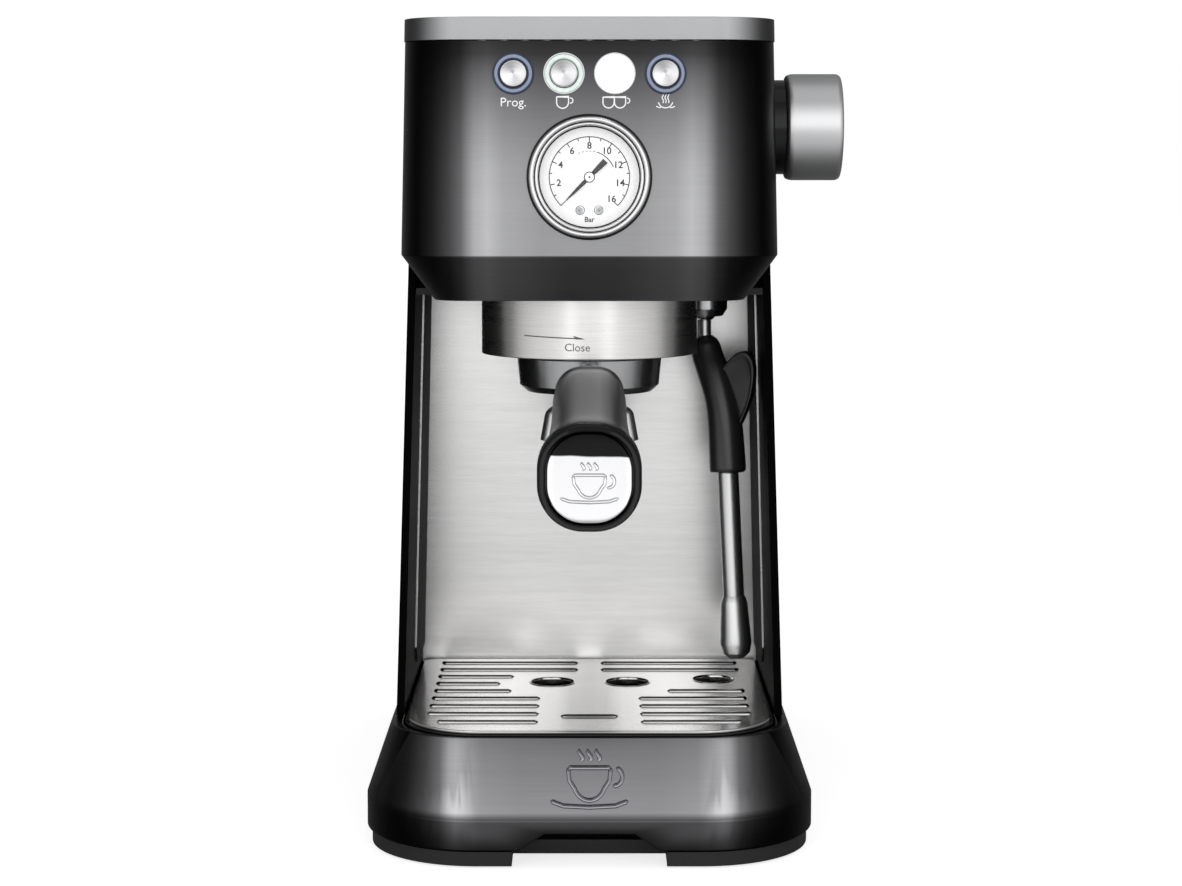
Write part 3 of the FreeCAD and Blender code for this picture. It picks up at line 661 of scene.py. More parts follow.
dressed("base_plate", "satin_black", "black_plastic")
dressed("feet", "black_rubber", "black_rubber", 0.8)
dressed("base_housing", "base_paint", "gunmetal", 0.5)
drawer = dressed("tray_front", "base_paint", "gunmetal", 0.5)
dressed("tray_tub", "gloss_black", "black_plastic", 0.5)
dressed("cord_gland", "black_rubber", "black_rubber", 0.4)
dressed("rocker_frame", "black_plastic", "black_plastic", 0.4)
dressed("power_rocker", "gloss_black", "black_plastic", 0.4)
# painted shade: the panels' faces inside the niche and their front edges take the near-black finish
panel_paint_and_painted_shade = ["black_metal", "painted_shade_black"]
dressed("left_side_panel", panel_paint_and_painted_shade, "black_metal", 0.5, lambda way: int(way.x > 0.7 or way.y < -0.7))
dressed("right_side_panel", panel_paint_and_painted_shade, "black_metal", 0.5, lambda way: int(way.x < -0.7 or way.y < -0.7))
# painted shade: the splash's side flanges take the near-black finish where the steel would mirror dark
dressed("splash_back", ["splash_steel", "painted_shade_black"], "stainless", 0.4, lambda way: int(abs(way.x) > 0.7))
dressed("tank_bay_wall", "black_plastic", "black_plastic")
dressed("tank_dock", "black_plastic", "black_plastic", 0.5)
dressed("water_tank", "tank_clear", "tank_clear", 0.5)
dressed("tank_outlet", "black_plastic", "black_plastic", 0.2)
dressed("tank_lid", "black_plastic", "black_plastic", 0.6)
dressed("tank_handle", "stainless", "stainless", 0)
dressed("head_shell", "gunmetal", "gunmetal", 0.4)
dressed("head_underside", "black_plastic", "black_plastic", 0.3)
dressed("top_cap", "cap_grey", "satin_grey", 0.5)
dressed("button_switches", "black_plastic", "black_plastic", 0.2)
dressed("control_board", "board_green", "board_green", 0.1)
dressed("gauge_case", "gloss_black", "black_plastic", 0.3)
dressed("knob_collar", "gloss_black", "black_plastic", 0.3)
dressed("steam_spindle", "zinc", "stainless", 0.2)
dressed("steam_valve", "brass", "brass", 0.5)
dressed("group_head", "cast_alu", "cast_alu", 0.5)
dressed("group_gasket", "black_rubber", "black_rubber", 0.2)
dressed("shower_screen", "stainless", "stainless", 0.2)
dressed("shower_screw", "zinc", "stainless", 0.2)
dressed("twin_spout", "polished_tube", "chrome", 0.5)
dressed("filter_basket", "stainless", "stainless", 0.2)
dressed("portafilter_body", "dark_chrome", "chrome", 0.5)
dressed("wand_socket", "dark_chrome", "chrome", 0.3)
dressed("wand_ball", "chrome", "chrome", 0)
dressed("wand_pipe", "polished_tube", "polished_tube", 0)
dressed("wand_tip", "polished_tube", "polished_tube", 0.3)
dressed("thermoblock", "cast_alu", "cast_alu", 0.8)
dressed("solenoid_valve", "zinc", "brass", 0.5)
dressed("pump", "black_plastic", "black_plastic", 0.8)
dressed("hoses", "silicone", "silicone", 0)

# %% [markdown]
# ## Push buttons
# Each button is a spun metal cap inside a ring of clear plastic that a lamp lights from behind.
# Both are turned shapes, so a profile spun round the button's axis gives the dished cap and the
# ring's rounded lip. Two rings stay dark blue, one glows, and the third button is fully lit.

# %% Rings and caps
BUTTONS = ("button_program", "button_one_cup", "button_two_cup", "button_steam")
BUTTON_X = [21.25 * (i - 1.5) for i in range(4)]
BUTTON_Z = 336.0
rings = Builder()
for i, x in enumerate(BUTTON_X):
    where = standing((x, -145.5, BUTTON_Z), (0, -1, 0))
    glow = 0 if i in (0, 3) else (1 if i == 1 else 2)
    turned(rings, [(6.1, 0), (8.2, 0), (8.2, 5.2), (7.9, 5.7), (6.5, 5.7), (6.1, 5.2)], where, 48, glow,
           0.3)
    edge = 3 if i in (0, 3) else 4
    turned(rings, [(8.0, 4.6), (8.75, 4.6), (8.75, 5.9), (8.0, 5.9)], where, 48, edge, 0.2)
    if edge == 3:
        turned(rings, [(5.95, 4.0), (6.55, 4.0), (6.55, 5.85), (5.95, 5.85)], where, 48, edge, 0.1)
put(rings.make("button_rings", ["ring_blue", "ring_light", "cap_light", "ring_navy", "dark_chrome"]),
    "frame", "ring_light", "button_light_rings")
for i, (name, x) in enumerate(zip(BUTTONS, BUTTON_X)):
    spun("spun_cap_" + str(i), (x * 0.001, -0.15, BUTTON_Z * 0.001))
    cap = Builder()
    where = standing((x, -145.9, BUTTON_Z), (0, -1, 0))
    dish = [(0.01, 0), (5.75, 0), (5.75, 5.6), (5.3, 6.2), (4.6, 6.0), (2.4, 5.7), (0.01, 5.6)]
    turned(cap, dish, where, 48, 0, 0.25)
    made = cap.make(name + "_cap", "cap_light" if i == 2 else "spun_cap_" + str(i))
    put(made, home[name], "spun_cap", name)
print("buttons at", BUTTON_X)

# %% [markdown]
# ## Marks above and below the buttons
# The machine prints thin pale signs under its buttons: a word for programming, one cup, two
# cups, and a cup in steam. They are drawn as even lines, which stay crisp at any zoom.

# %% Button signs
signs = Builder()
SIGN_Y = -150.5


def cup_sign(x, z, size, handle=True):
    where = front(x, SIGN_Y, z)
    w, h = size, size * 0.92
    bowl = [(-w / 2, h / 2)] + [(-w / 2, 0)] + arc(w / 2, 180, 360, 12)[1:-1] + [(w / 2, 0), (w / 2, h / 2)]
    ribbon(signs, bowl + [(-w / 2, h / 2)], 0.5, 0.12, where)
    if handle:
        ribbon(signs, arc(w * 0.22, 100, -100, 10, (w / 2 + w * 0.15, h * 0.16)), 0.45, 0.12, where)


lettering(signs, "Prog.", 5.3, front(BUTTON_X[0], SIGN_Y, 323.9), 0.12)
cup_sign(BUTTON_X[1] - 0.6, 324.0, 5.0)
cup_sign(BUTTON_X[2] - 2.6, 324.0, 4.7, False)
cup_sign(BUTTON_X[2] + 2.2, 324.0, 4.7)
for k in (-1, 0, 1):
    wave = [(k * 1.15 + 0.3 * math.sin(t * 1.3), t * 0.62 - 0.9) for t in range(7)]
    ribbon(signs, wave, 0.42, 0.12, front(BUTTON_X[3], SIGN_Y, 324.6))
ribbon(signs, arc(3.1, 195, 345, 16, (0, 0.9)), 0.45, 0.12, front(BUTTON_X[3], SIGN_Y, 323.9))
for side in (-1, 1):
    ribbon(signs, [(side * 1.9, -2.1), (side * 3.0, -2.0), (side * 3.9, -1.5)], 0.42, 0.12,
           front(BUTTON_X[3], SIGN_Y, 323.9))
put(signs.make("button_signs", "ink_white"), "frame", None)
print("signs printed")

# %% [markdown]
# ## Pressure gauge
# The gauge is a glazed instrument: a stepped chrome bezel, a white dial with printed scale,
# a pointer on a hub and two small screws that hold the dial. Scale marks sit at equal angles,
# so a loop places them from the same rule that the pointer's joint follows.

# %% Bezel and glass
GAUGE_Z = 292.8
bezel = Builder()
axis = standing((0, -150.5, GAUGE_Z), (0, -1, 0))
turned(bezel, [(23.9, -1), (26.3, -1), (26.3, 1.5), (25.3, 1.9), (23.9, 1.9)], axis, 96, 1, 0.3)
turned(bezel, [(23.2, 0.6), (25.3, 0.6), (25.4, 3.6), (25.0, 4.5), (24.2, 4.8), (23.4, 4.5), (23.2, 3.6)],
       axis, 96, 0, 0.35)
turned(bezel, [(22.7, 0.6), (23.4, 0.6), (23.4, 3.2), (22.7, 3.2)], axis, 96, 1, 0.1)
turned(bezel, [(21.5, 0.4), (22.85, 0.4), (22.85, 3.8), (22.2, 4.1), (21.5, 3.7)], axis, 96, 0, 0.3)
turned(bezel, [(20.9, -3.2), (21.6, -3.2), (21.6, 2.6), (20.9, 2.4)], axis, 96, 1, 0.1)
put(bezel.make("gauge_rings", ["bezel_chrome", "gloss_black"]), "frame", "chrome", "gauge_bezel")
glass = Builder()
turned(glass, [(0.01, 0.2), (21.1, 0.2), (21.1, 1.1), (0.01, 1.5)], axis, 96, 0, 0.1)
put(glass.make("gauge_window", "clear_glass"), "frame", "clear_glass", "gauge_glass")

# %% Dial, scale and pointer
dial = Builder()
turned(dial, [(0.01, 3.9), (22.4, 3.9), (22.4, 4.5), (22.0, 4.7), (0.01, 4.7)],
       standing((0, -142.8, GAUGE_Z), (0, -1, 0)), 96, 0, 0.1)
face = front(0, -147.5, GAUGE_Z)


SCALE_R = 16.9


def scale_angle(value):
    """Direction of a value on the 0 to 16 scale, degrees anticlockwise from the right."""
    return 225 - value * 270 / 16


def point(radius, value):
    a = math.radians(scale_angle(value))
    return (radius * math.cos(a), radius * math.sin(a))


ribbon(dial, arc(SCALE_R, scale_angle(0), scale_angle(16), 72), 0.42, 0.06, face, 1)
for step in range(17):
    long = 2.1 if step % 2 == 0 else 1.2
    ribbon(dial, [point(SCALE_R, step), point(SCALE_R - long, step)], 0.42, 0.06, face, 1)
for value in range(2, 17, 2):
    x, z = point(13.1, value)
    lettering(dial, str(value), 4.0, face @ Matrix.Translation((x, z, 0)), 0.06, 1, 0.09)
for step in range(13, 19):
    a = scale_angle(step * 0.5)
    ribbon(dial, arc(10.9, a, a - 4.5, 3), 0.30, 0.06, face, 1)
ribbon(dial, arc(10.9, scale_angle(9), scale_angle(12), 16), 0.40, 0.06, face, 1)
for side in (-1, 1):
    ribbon(dial, arc(1.85, 0, 345, 24, (side * 3.9, -13.9)), 0.26, 0.06, face, 1, True)
lettering(dial, "Bar", 3.1, face @ Matrix.Translation((0, -17.9, 0)), 0.06, 1, 0.07)
put(dial.make("gauge_face", ["dial_white", "ink_black"]), "frame", "dial_white", "gauge_dial")
pointer = Builder()
hand = front(0, -149.3, GAUGE_Z) @ Matrix.Rotation(math.radians(225), 4, "Z")
needle = [(16.6, 0), (9, -0.62), (2.2, -0.9), (2.2, 0.9), (9, 0.62)]
tail = [(-2.2, -0.85), (-3.5, -1.0), (-9.6, -1.35), (-9.6, 1.35), (-3.5, 1.0), (-2.2, 0.85)]
for shape in (needle, tail):
    pointer.rings([[(x, y, h) for x, y in shape] for h in (0, 0.35)], 0, hand)
turned(pointer, [(0.01, -0.3), (2.1, -0.3), (2.1, 0.65), (0.01, 0.8)], hand, 40, 1, 0.15)
turned(pointer, [(1.75, 0.1), (2.35, 0.1), (2.35, 0.75), (1.95, 0.8)], hand, 40, 0, 0.1)
turned(pointer, [(0.01, 0.5), (0.4, 0.5), (0.4, 1.0), (0.01, 1.0)], hand, 16, 0, 0.05)
turned(pointer, [(0.01, -6.6), (0.8, -6.6), (0.8, -0.2), (0.01, -0.2)], hand, 16, 0, 0.05)
put(pointer.make("gauge_hand", ["ink_black", "dial_white"]), "gauge_pointer", "ink_black", "gauge_pointer")
print("gauge done")

# %% [markdown]
# ## Steam knob
# The knob is one turned cylinder with a blasted satin skin. Its profile carries a soft outer
# edge, a shallow step by the collar and a slightly dished end.

# %% Knob
KNOB = (85.3, -102.5, 314.3)
knob = Builder()
knob_side = [(0.01, 0), (21.9, 0), (22.6, 0.8), (23.1, 2.6), (23.1, 22.4), (22.2, 23.9), (20.8, 24.1),
             (20.0, 23.7), (0.01, 23.4)]
turned(knob, knob_side, standing(KNOB, (1, 0, 0)), 96, 0, 0.7)
put(knob.make("knob_body", "satin_grey"), "steam_knob", "satin_grey", "steam_knob")

# %% [markdown]
# ## Group collar
# A band of stainless steel wraps the group. The word and arrow printed on it show which way
# the handle turns to lock, and both bend round the band.

# %% Collar with its print
COLLAR = (0, -65.5, 213.0)
collar = Builder()
turned(collar, [(46.9, 0.0), (48.9, 0.0), (48.9, 26.9), (46.9, 26.9)], standing(COLLAR), 128, 0, 0.4)


def wrapped(verts, radius):
    """Bend flat print round the band: local X becomes an angle."""
    out = []
    for x, y, z in verts:
        a = x / radius
        out.append(((radius + z) * math.sin(a), COLLAR[1] - (radius + z) * math.cos(a), COLLAR[2] + y))
    return out


mark = Builder()
flat = Matrix.Identity(4)
line = [(-30.5 + 27.0 * t / 24, 10.2 - 0.9 * t / 24) for t in range(25)]
ribbon(mark, line, 0.5, 0.06, flat)
mark.rings([[(-5.6, 9.0, h), (-1.6, 9.1, h), (-7.2, 10.6, h), (-6.3, 9.6, h)] for h in (0, 0.06)], 0, flat)
lettering(mark, "Close", 4.9, Matrix.Translation((-5.3, 5.3, 0)), 0.06)
mark.verts = wrapped(mark.verts, 48.95)
collar.add(mark.verts, mark.faces, 1)
put(collar.make("collar_band", ["stainless", "ink_grey"]), "frame", "stainless", "group_collar")
print("collar done")

# %% [markdown]
# ## Drip plate
# The plate is one pressed sheet of steel: straight ribs stiffen it, three holes with rolled lips
# drain it. The sheet is a flat outline with holes; a Geometry Nodes tree lays a rib on every
# edge of a simple line drawing, so the rib's width and height are two named inputs.

# %% Flat sheet with rolled holes
PLATE_TOP = 56.0
HOLES = ((-17.4, -43.0, 10.1), (17.8, -43.0, 10.1), (58.2, -36.5, 9.2))
plate = Builder()
loops = [arc(r, 0, 352.5, 47, (x, y)) for x, y, r in HOLES]
verts, faces = cut_sheet(soft_box(79.8, 81.1, -146.8, 12.6, 33, 5), loops, 1.5, 0.5,
                         Matrix.Translation((0, 0, PLATE_TOP - 1.5)))
plate.add(verts, faces)
for x, y, r in HOLES:
    where = standing((x, y, PLATE_TOP))
    lip = [(1.0, -0.4), (0.7, 0.3), (0.2, 0.35), (-0.2, -0.4), (-0.3, -3.0), (0.1, -3.0), (0.3, -1.2)]
    turned(plate, [(r + out, up) for out, up in lip], where, 48, 0, 0.4)


# %% Ribs by Geometry Nodes
def tree_with(name, inputs):
    """New geometry tree with named number inputs; gives the tree, its start and its end."""
    tree = bpy.data.node_groups.new(name, "GeometryNodeTree")
    tree.interface.new_socket("Geometry", in_out="INPUT", socket_type="NodeSocketGeometry")
    tree.interface.new_socket("Geometry", in_out="OUTPUT", socket_type="NodeSocketGeometry")
    for key, value in inputs.items():
        made = tree.interface.new_socket(key, in_out="INPUT", socket_type="NodeSocketFloat")
        made.default_value = value
    return tree, tree.nodes.new("NodeGroupInput"), tree.nodes.new("NodeGroupOutput")


def grown(name, mesh, tree, values):
    """Run a geometry tree on a mesh and keep the result as a plain mesh object."""
    seed = show(name + "_seed", mesh, False)
    modifier = seed.modifiers.new("grow", "NODES")
    modifier.node_group = tree
    for item in tree.interface.items_tree:
        if item.in_out == "INPUT" and item.name in values:
            modifier[item.identifier] = values[item.name]
    bpy.context.view_layer.update()
    graph = bpy.context.evaluated_depsgraph_get()
    result = bpy.data.meshes.new_from_object(seed.evaluated_get(graph))
    seed.modifiers.clear()
    bpy.data.objects.remove(seed)
    return show(name, result)


def rib_tree(finish):
    tree, start, end = tree_with("ribs", {"Half width": 0.0023, "Height": 0.0009})
    to_curve = new_node(tree, "GeometryNodeMeshToCurve", {}, {"Mesh": start.outputs["Geometry"]})
    circle = new_node(tree, "GeometryNodeCurvePrimitiveCircle", {}, {"Resolution": 20, "Radius": 1.0})
    wide, tall = start.outputs["Half width"], start.outputs["Height"]
    size = new_node(tree, "ShaderNodeCombineXYZ", {}, {0: wide, 1: tall, 2: 1.0})
    oval = new_node(tree, "GeometryNodeTransform", {}, {"Geometry": circle.outputs[0],
                                                       "Scale": size.outputs[0]})
    bars = new_node(tree, "GeometryNodeCurveToMesh", {}, {"Curve": to_curve.outputs[0],
                                                         "Profile Curve": oval.outputs[0]})
    ball = new_node(tree, "GeometryNodeMeshUVSphere", {}, {"Segments": 20, "Rings": 10, "Radius": 1.0})
    squash = new_node(tree, "ShaderNodeCombineXYZ", {}, {0: wide, 1: wide, 2: tall})
    dome = new_node(tree, "GeometryNodeTransform", {}, {"Geometry": ball.outputs[0],
                                                       "Scale": squash.outputs[0]})
    ends = new_node(tree, "GeometryNodeInstanceOnPoints", {},
                   {"Points": start.outputs["Geometry"], "Instance": dome.outputs[0]})
    both = tree.nodes.new("GeometryNodeJoinGeometry")
    tree.links.new(bars.outputs[0], both.inputs[0])
    tree.links.new(ends.outputs[0], both.inputs[0])
    real = new_node(tree, "GeometryNodeRealizeInstances", {}, {0: both.outputs[0]})
    smooth = new_node(tree, "GeometryNodeSetShadeSmooth", {}, {0: real.outputs[0]})
    paint = new_node(tree, "GeometryNodeSetMaterial", {}, {"Geometry": smooth.outputs[0],
                                                          "Material": finishes[finish]})
    tree.links.new(paint.outputs[0], end.inputs[0])
    return tree


NEAR_ENDS = (5.2, 5.2, 35.5, 41.4, 35.7, 22.2, 22.2, 22.2, 22.2)
lines = []
for row, near in enumerate(NEAR_ENDS):
    y = 2.6 - row * 16.45
    far = 66.8 if row == 8 else 72.0
    sides = (-1,) if row in (2, 3) else (-1, 1)
    lines += [(side * (near + 2.3), side * (far - 2.3), y) for side in sides]
lines.append((-10.5, 10.5, -117.5))
drawing = bpy.data.meshes.new("rib_lines")
ends = [(x * 0.001, y * 0.001, (PLATE_TOP - 0.05) * 0.001) for a, b, y in lines for x in (a, b)]
drawing.from_pydata(ends, [(2 * i, 2 * i + 1) for i in range(len(lines))], [])
# Painted shade: thin black ovals, a little wider than the ribs, show as dark lines along their edges
shadow = drawing.copy()
ribs = grown("plate_ribs", drawing, rib_tree("plate_steel"), {"Half width": 0.0021, "Height": 0.0011})
rib_shade_lines = grown("plate_rib_painted_shade", shadow, rib_tree("ink_black"), {"Half width": 0.0026, "Height": 0.00012})
put(plate.make("plate_sheet", "plate_steel"), "drip_plate", "steel_plate", "drip_plate")
put(ribs, "drip_plate", "steel_plate")
put(rib_shade_lines, "drip_plate", None)
for made in (ribs, rib_shade_lines):
    tall = max(v.co.z for v in made.data.vertices) * 1000
    print(made.name, len(lines), "lines, top at", round(tall, 2))

# %% [markdown]
# ## Portafilter grip
# The grip is one soft moulding that swells toward the hand and ends in a rounded ring around a
# polished plate. Rounded sections set along its length and skinned together give that flow,
# with a bead where it meets the neck and a recess for the plate.

# %% Grip and its end plate
def grip_loop(width, height, y, z, lean):
    r = 0.44 * min(width, height)
    tilt = math.radians(lean)
    flat = soft_box(width / 2, width / 2, -height / 2, height / 2, r, r, 14)
    return [(x, y - v * math.sin(tilt), z + v * math.cos(tilt)) for x, v in flat]


def smooth_rows(rows, steps=5):
    """Catmull-Rom rows between the given rows of numbers."""
    out = []
    for i in range(len(rows) - 1):
        a, b, c, d = rows[max(0, i - 1)], rows[i], rows[i + 1], rows[min(len(rows) - 1, i + 2)]
        for k in range(steps):
            t = k / steps
            out.append([0.5 * (2 * q + (r - p) * t + (2 * p - 5 * q + 4 * r - e) * t * t
                               + (3 * q - p - 3 * r + e) * t ** 3)
                        for p, q, r, e in zip(a, b, c, d)])
    return out + [list(rows[-1])]


BODY_ROWS = [(28.6, 25.8, -134.6, 198.0, -9), (29.4, 27.0, -141, 197.0, -9), (31.0, 28.6, -150, 195.4, -9),
             (31.6, 30.0, -190, 188.5, -10), (34.6, 34.4, -220, 182.9, -11), (38.6, 39.4, -236, 180.0, -12),
             (40.4, 42.0, -243, 178.6, -12)]
START = [(15.0, 13.0, -129.6, 198.8, -9), (26.4, 23.6, -129.8, 198.8, -9), (28.6, 25.8, -130.5, 198.6, -9),
         (29.8, 27.0, -131.8, 198.4, -9),
         (29.8, 27.0, -133.2, 198.2, -9), (28.8, 26.0, -134.2, 198.1, -9)]
END = [(40.6, 42.2, -246.0, 178.1, -12), (40.0, 41.6, -247.6, 177.8, -12), (38.8, 40.4, -248.6, 177.6, -12),
       (36.4, 38.0, -248.9, 177.6, -12),
       (34.9, 36.6, -248.4, 177.6, -12), (34.3, 36.0, -247.4, 177.7, -12), (34.3, 36.0, -245.0, 178.2, -12)]
grip = Builder()
grip.rings([grip_loop(*row) for row in START + smooth_rows(BODY_ROWS) + END])
grip.slots = [int(sum(grip.verts[i][1] for i in f) / len(f) < -242.0) for f in grip.faces]
put(grip.make("grip_moulding", ["grip_plastic", "gloss_black"], 50), "portafilter", "grip_plastic",
    "portafilter_grip")
mirror = Builder()
PLATE_ROWS = [(1.0, -245.2), (1.0, -247.6), (0.985, -248.2), (0.955, -248.5), (0.8, -248.75), (0.5, -249.0),
              (0.15, -249.1)]
mirror.rings([grip_loop(33.4 * k, 35.0 * k, y, 177.7, -12) for k, y in PLATE_ROWS])
end_plate = put(mirror.make("grip_plate", "end_mirror", 40), "portafilter", "chrome", "grip_end_plate")
print("grip", len(grip.verts), "points")

# %% [markdown]
# ## Wand sleeve
# A rubber sleeve covers the bend of the steam pipe, and a leaf-shaped tab lets a finger move the
# wand without touching hot steel. Rings of changing radius follow the bend; the leaf is a thick
# flat shape with a raised border.

# %% Sleeve with its leaf
def along(rows, sides=32):
    """Loops of points round a path of (x, y, z, radius)."""
    loops = []
    for i, (x, y, z, r) in enumerate(rows):
        a, b = rows[max(0, i - 1)], rows[min(len(rows) - 1, i + 1)]
        way = (Vector(b[:3]) - Vector(a[:3])).normalized()
        side = way.cross(Vector((0, 1, 0))).normalized()
        up = side.cross(way)
        centre = Vector((x, y, z))
        loops.append([tuple(centre + side * r * math.cos(t) + up * r * math.sin(t))
                      for t in [2 * math.pi * k / sides for k in range(sides)]])
    return loops


BENDS = [(54.2, -33.4, 213.6, 6.9), (55.6, -34.8, 208.0, 7.3), (58.4, -38.0, 200.0, 7.5),
         (61.4, -41.2, 189.0, 7.6),
         (63.2, -43.2, 177.0, 8.1), (64.4, -45.2, 157.4, 8.5)]
top = [(53.3, -32.6, 217.6, 3.3), (53.5, -32.8, 217.0, 4.6), (53.8, -33.0, 215.6, 6.1)]
foot = [(64.45, -45.3, 156.4, 8.4), (64.5, -45.35, 155.8, 8.0), (64.5, -45.4, 155.5, 7.2),
        (64.5, -45.4, 155.4, 5.0)]
sleeve = Builder()
sleeve.rings(along(top + smooth_rows(BENDS, 6) + foot))
LEAF = [(-1, 199), (4, 206.5), (9.5, 211.4), (14.5, 212.4), (18.0, 208.5), (18.8, 201), (17.2, 191),
        (13.2, 180.5), (8.4, 172.6), (2, 168), (-1, 176)]
leaf = rounded(LEAF, 4.0, 5)
middle = Vector((8.6, 192))


def leaf_loop(scale, depth):
    out = []
    for p in leaf:
        u, z = middle + (Vector(p) - middle) * scale
        out.append((60.5 + 0.88 * u + 0.475 * depth, -40 - 0.475 * u + 0.88 * depth, z))
    return out


LEAF_SHAPE = [(0.80, 2.3), (0.94, 2.2), (1.0, 1.2), (1.0, -1.2), (0.965, -2.1), (0.91, -2.3), (0.85, -2.0),
              (0.80, -1.5), (0.55, -1.4)]
sleeve.rings([leaf_loop(k, d) for k, d in LEAF_SHAPE])
put(sleeve.make("sleeve_and_leaf", "wand_rubber", 40), "steam_wand", "black_rubber", "wand_sleeve")
print("sleeve done")

# %% [markdown]
# ## Raised emblem
# The drawer's front carries a raised sign. A plain cup with steam is drawn with even lines and
# then laid on the sloping front: each point is sent straight at the drawer until it lands.

# %% Emblem on the drawer and on the handle
def laid_on(builder, target):
    """Move each point (x, height, rise) onto the target's front surface."""
    tree = BVHTree.FromObject(target, bpy.context.evaluated_depsgraph_get())
    out = []
    for x, z, rise in builder.verts:
        hit = tree.ray_cast(Vector((x * 0.001, -0.4, z * 0.001)), Vector((0, 1, 0)))[0]
        out.append((x, hit.y * 1000 - rise, z))
    builder.verts = out
    return builder


def bead(builder, points, width, rise, place):
    """Half-round stroke through 2-D points, thinned at both ends."""
    pts = [Vector(p) for p in points]
    loops = []
    for i, p in enumerate(pts):
        way = (pts[min(i + 1, len(pts) - 1)] - pts[max(i - 1, 0)]).normalized()
        side = Vector((-way.y, way.x)) * width / 2
        thin = 0.35 if i in (0, len(pts) - 1) else 1.0
        loop = [(p.x + side.x * thin, p.y + side.y * thin, -rise * 0.5)]
        for k in range(7):
            t = math.pi * k / 6
            q = p + side * math.cos(t) * thin
            loop.append((q.x, q.y, rise * math.sin(t) * thin))
        loop.append((p.x - side.x * thin, p.y - side.y * thin, -rise * 0.5))
        loops.append(loop)
    return builder.rings(loops, 0, place)


def emblem(centre_x, centre_z, size, rise, width):
    made = Builder()
    place = Matrix.Translation((centre_x, centre_z, 0))
    bowl = [(-7.5, 5.0), (-7.0, 1.0)] + arc(5.4, 200, 340, 14, (0, 0.2)) + [(7.0, 1.0), (7.5, 5.0)]
    lines = [bowl, [(-7.5, 5.0), (0, 5.0), (7.5, 5.0)], arc(2.9, 75, -100, 12, (8.6, 2.2)),
             [(-13.5, -5.4), (-9.0, -6.9), (0, -7.3), (9.0, -6.9), (13.5, -5.4)]]
    for k in (-3.0, 0.0, 3.0):
        lines.append([(k + 0.7 * math.sin(t * 1.1), 6.9 + t * 0.8) for t in range(6)])
    for line in lines:
        pts = [(x * size, y * size) for x, y in line]
        dense = []
        for a, b in zip(pts, pts[1:]):
            n = max(1, int(math.dist(a, b) / 0.8))
            dense += [(a[0] + (b[0] - a[0]) * i / n, a[1] + (b[1] - a[1]) * i / n) for i in range(n)]
        bead(made, dense + [pts[-1]], width, rise, place)
    return made


badge = laid_on(emblem(0, 35.8, 1.22, 0.9, 1.9), drawer)
put(badge.make("drawer_emblem", "emblem_steel", 60), "tray_drawer", "gunmetal")
small = laid_on(emblem(0, 174.8, 0.84, 0.7, 1.4), end_plate)
put(small.make("handle_emblem", "bezel_chrome", 60), "portafilter", "chrome")
print("emblems", len(badge.verts), len(small.verts))

# %% [markdown]
# ## Screws
# Ten small screws hold the base, the cup tray and the dial. One Geometry Nodes tree makes a
# screw: a cylinder head, a cross cut out of it, and a shank below. It stands one on every
# point it is given and spins each by a seeded amount, as no two screws stop at the same angle.

# %% Screw tree
def screw_tree(finish):
    tree, start, end = tree_with("screws", {"Head radius": 0.002, "Head height": 0.001,
                                            "Shank radius": 0.001, "Shank length": 0.004})
    wide, tall = start.outputs["Head radius"], start.outputs["Head height"]

    def times(socket, factor):
        return new_node(tree, "ShaderNodeMath", {"operation": "MULTIPLY"},
                        {0: socket, 1: factor}).outputs[0]

    def moved(geometry, height):
        by = new_node(tree, "ShaderNodeCombineXYZ", {}, {2: height})
        return new_node(tree, "GeometryNodeTransform", {}, {"Geometry": geometry,
                                                           "Translation": by.outputs[0]}).outputs[0]

    head = new_node(tree, "GeometryNodeMeshCylinder", {}, {"Vertices": 28, "Radius": wide, "Depth": tall})
    cuts = []
    for a, b in ((1.25, 0.34), (0.34, 1.25)):
        bar = new_node(tree, "ShaderNodeCombineXYZ", {}, {0: times(wide, a), 1: times(wide, b), 2: tall})
        cube = new_node(tree, "GeometryNodeMeshCube", {}, {"Size": bar.outputs[0]})
        cuts.append(moved(cube.outputs[0], tall))
    cut_once = new_node(tree, "GeometryNodeMeshBoolean", {"operation": "DIFFERENCE"},
                       {"Mesh 1": moved(head.outputs[0], times(tall, 0.5)), "Mesh 2": cuts[0]})
    cut_twice = new_node(tree, "GeometryNodeMeshBoolean", {"operation": "DIFFERENCE"},
                        {"Mesh 1": cut_once.outputs[0], "Mesh 2": cuts[1]})
    shank = new_node(tree, "GeometryNodeMeshCylinder", {}, {"Vertices": 20,
                                                           "Radius": start.outputs["Shank radius"],
                                                           "Depth": start.outputs["Shank length"]})
    both = tree.nodes.new("GeometryNodeJoinGeometry")
    tree.links.new(cut_twice.outputs[0], both.inputs[0])
    tree.links.new(moved(shank.outputs[0], times(start.outputs["Shank length"], -0.5)), both.inputs[0])
    spin = new_node(tree, "FunctionNodeRandomValue", {"data_type": "FLOAT_VECTOR"},
                   {0: (0, 0, 0), 1: (0, 0, 3.1), "Seed": 7})
    stood = new_node(tree, "GeometryNodeInstanceOnPoints", {},
                    {"Points": start.outputs["Geometry"], "Instance": both.outputs[0],
                     "Rotation": spin.outputs[0]})
    real = new_node(tree, "GeometryNodeRealizeInstances", {}, {0: stood.outputs[0]})
    paint = new_node(tree, "GeometryNodeSetMaterial", {}, {"Geometry": real.outputs[0],
                                                          "Material": finishes[finish]})
    tree.links.new(paint.outputs[0], end.inputs[0])
    return tree


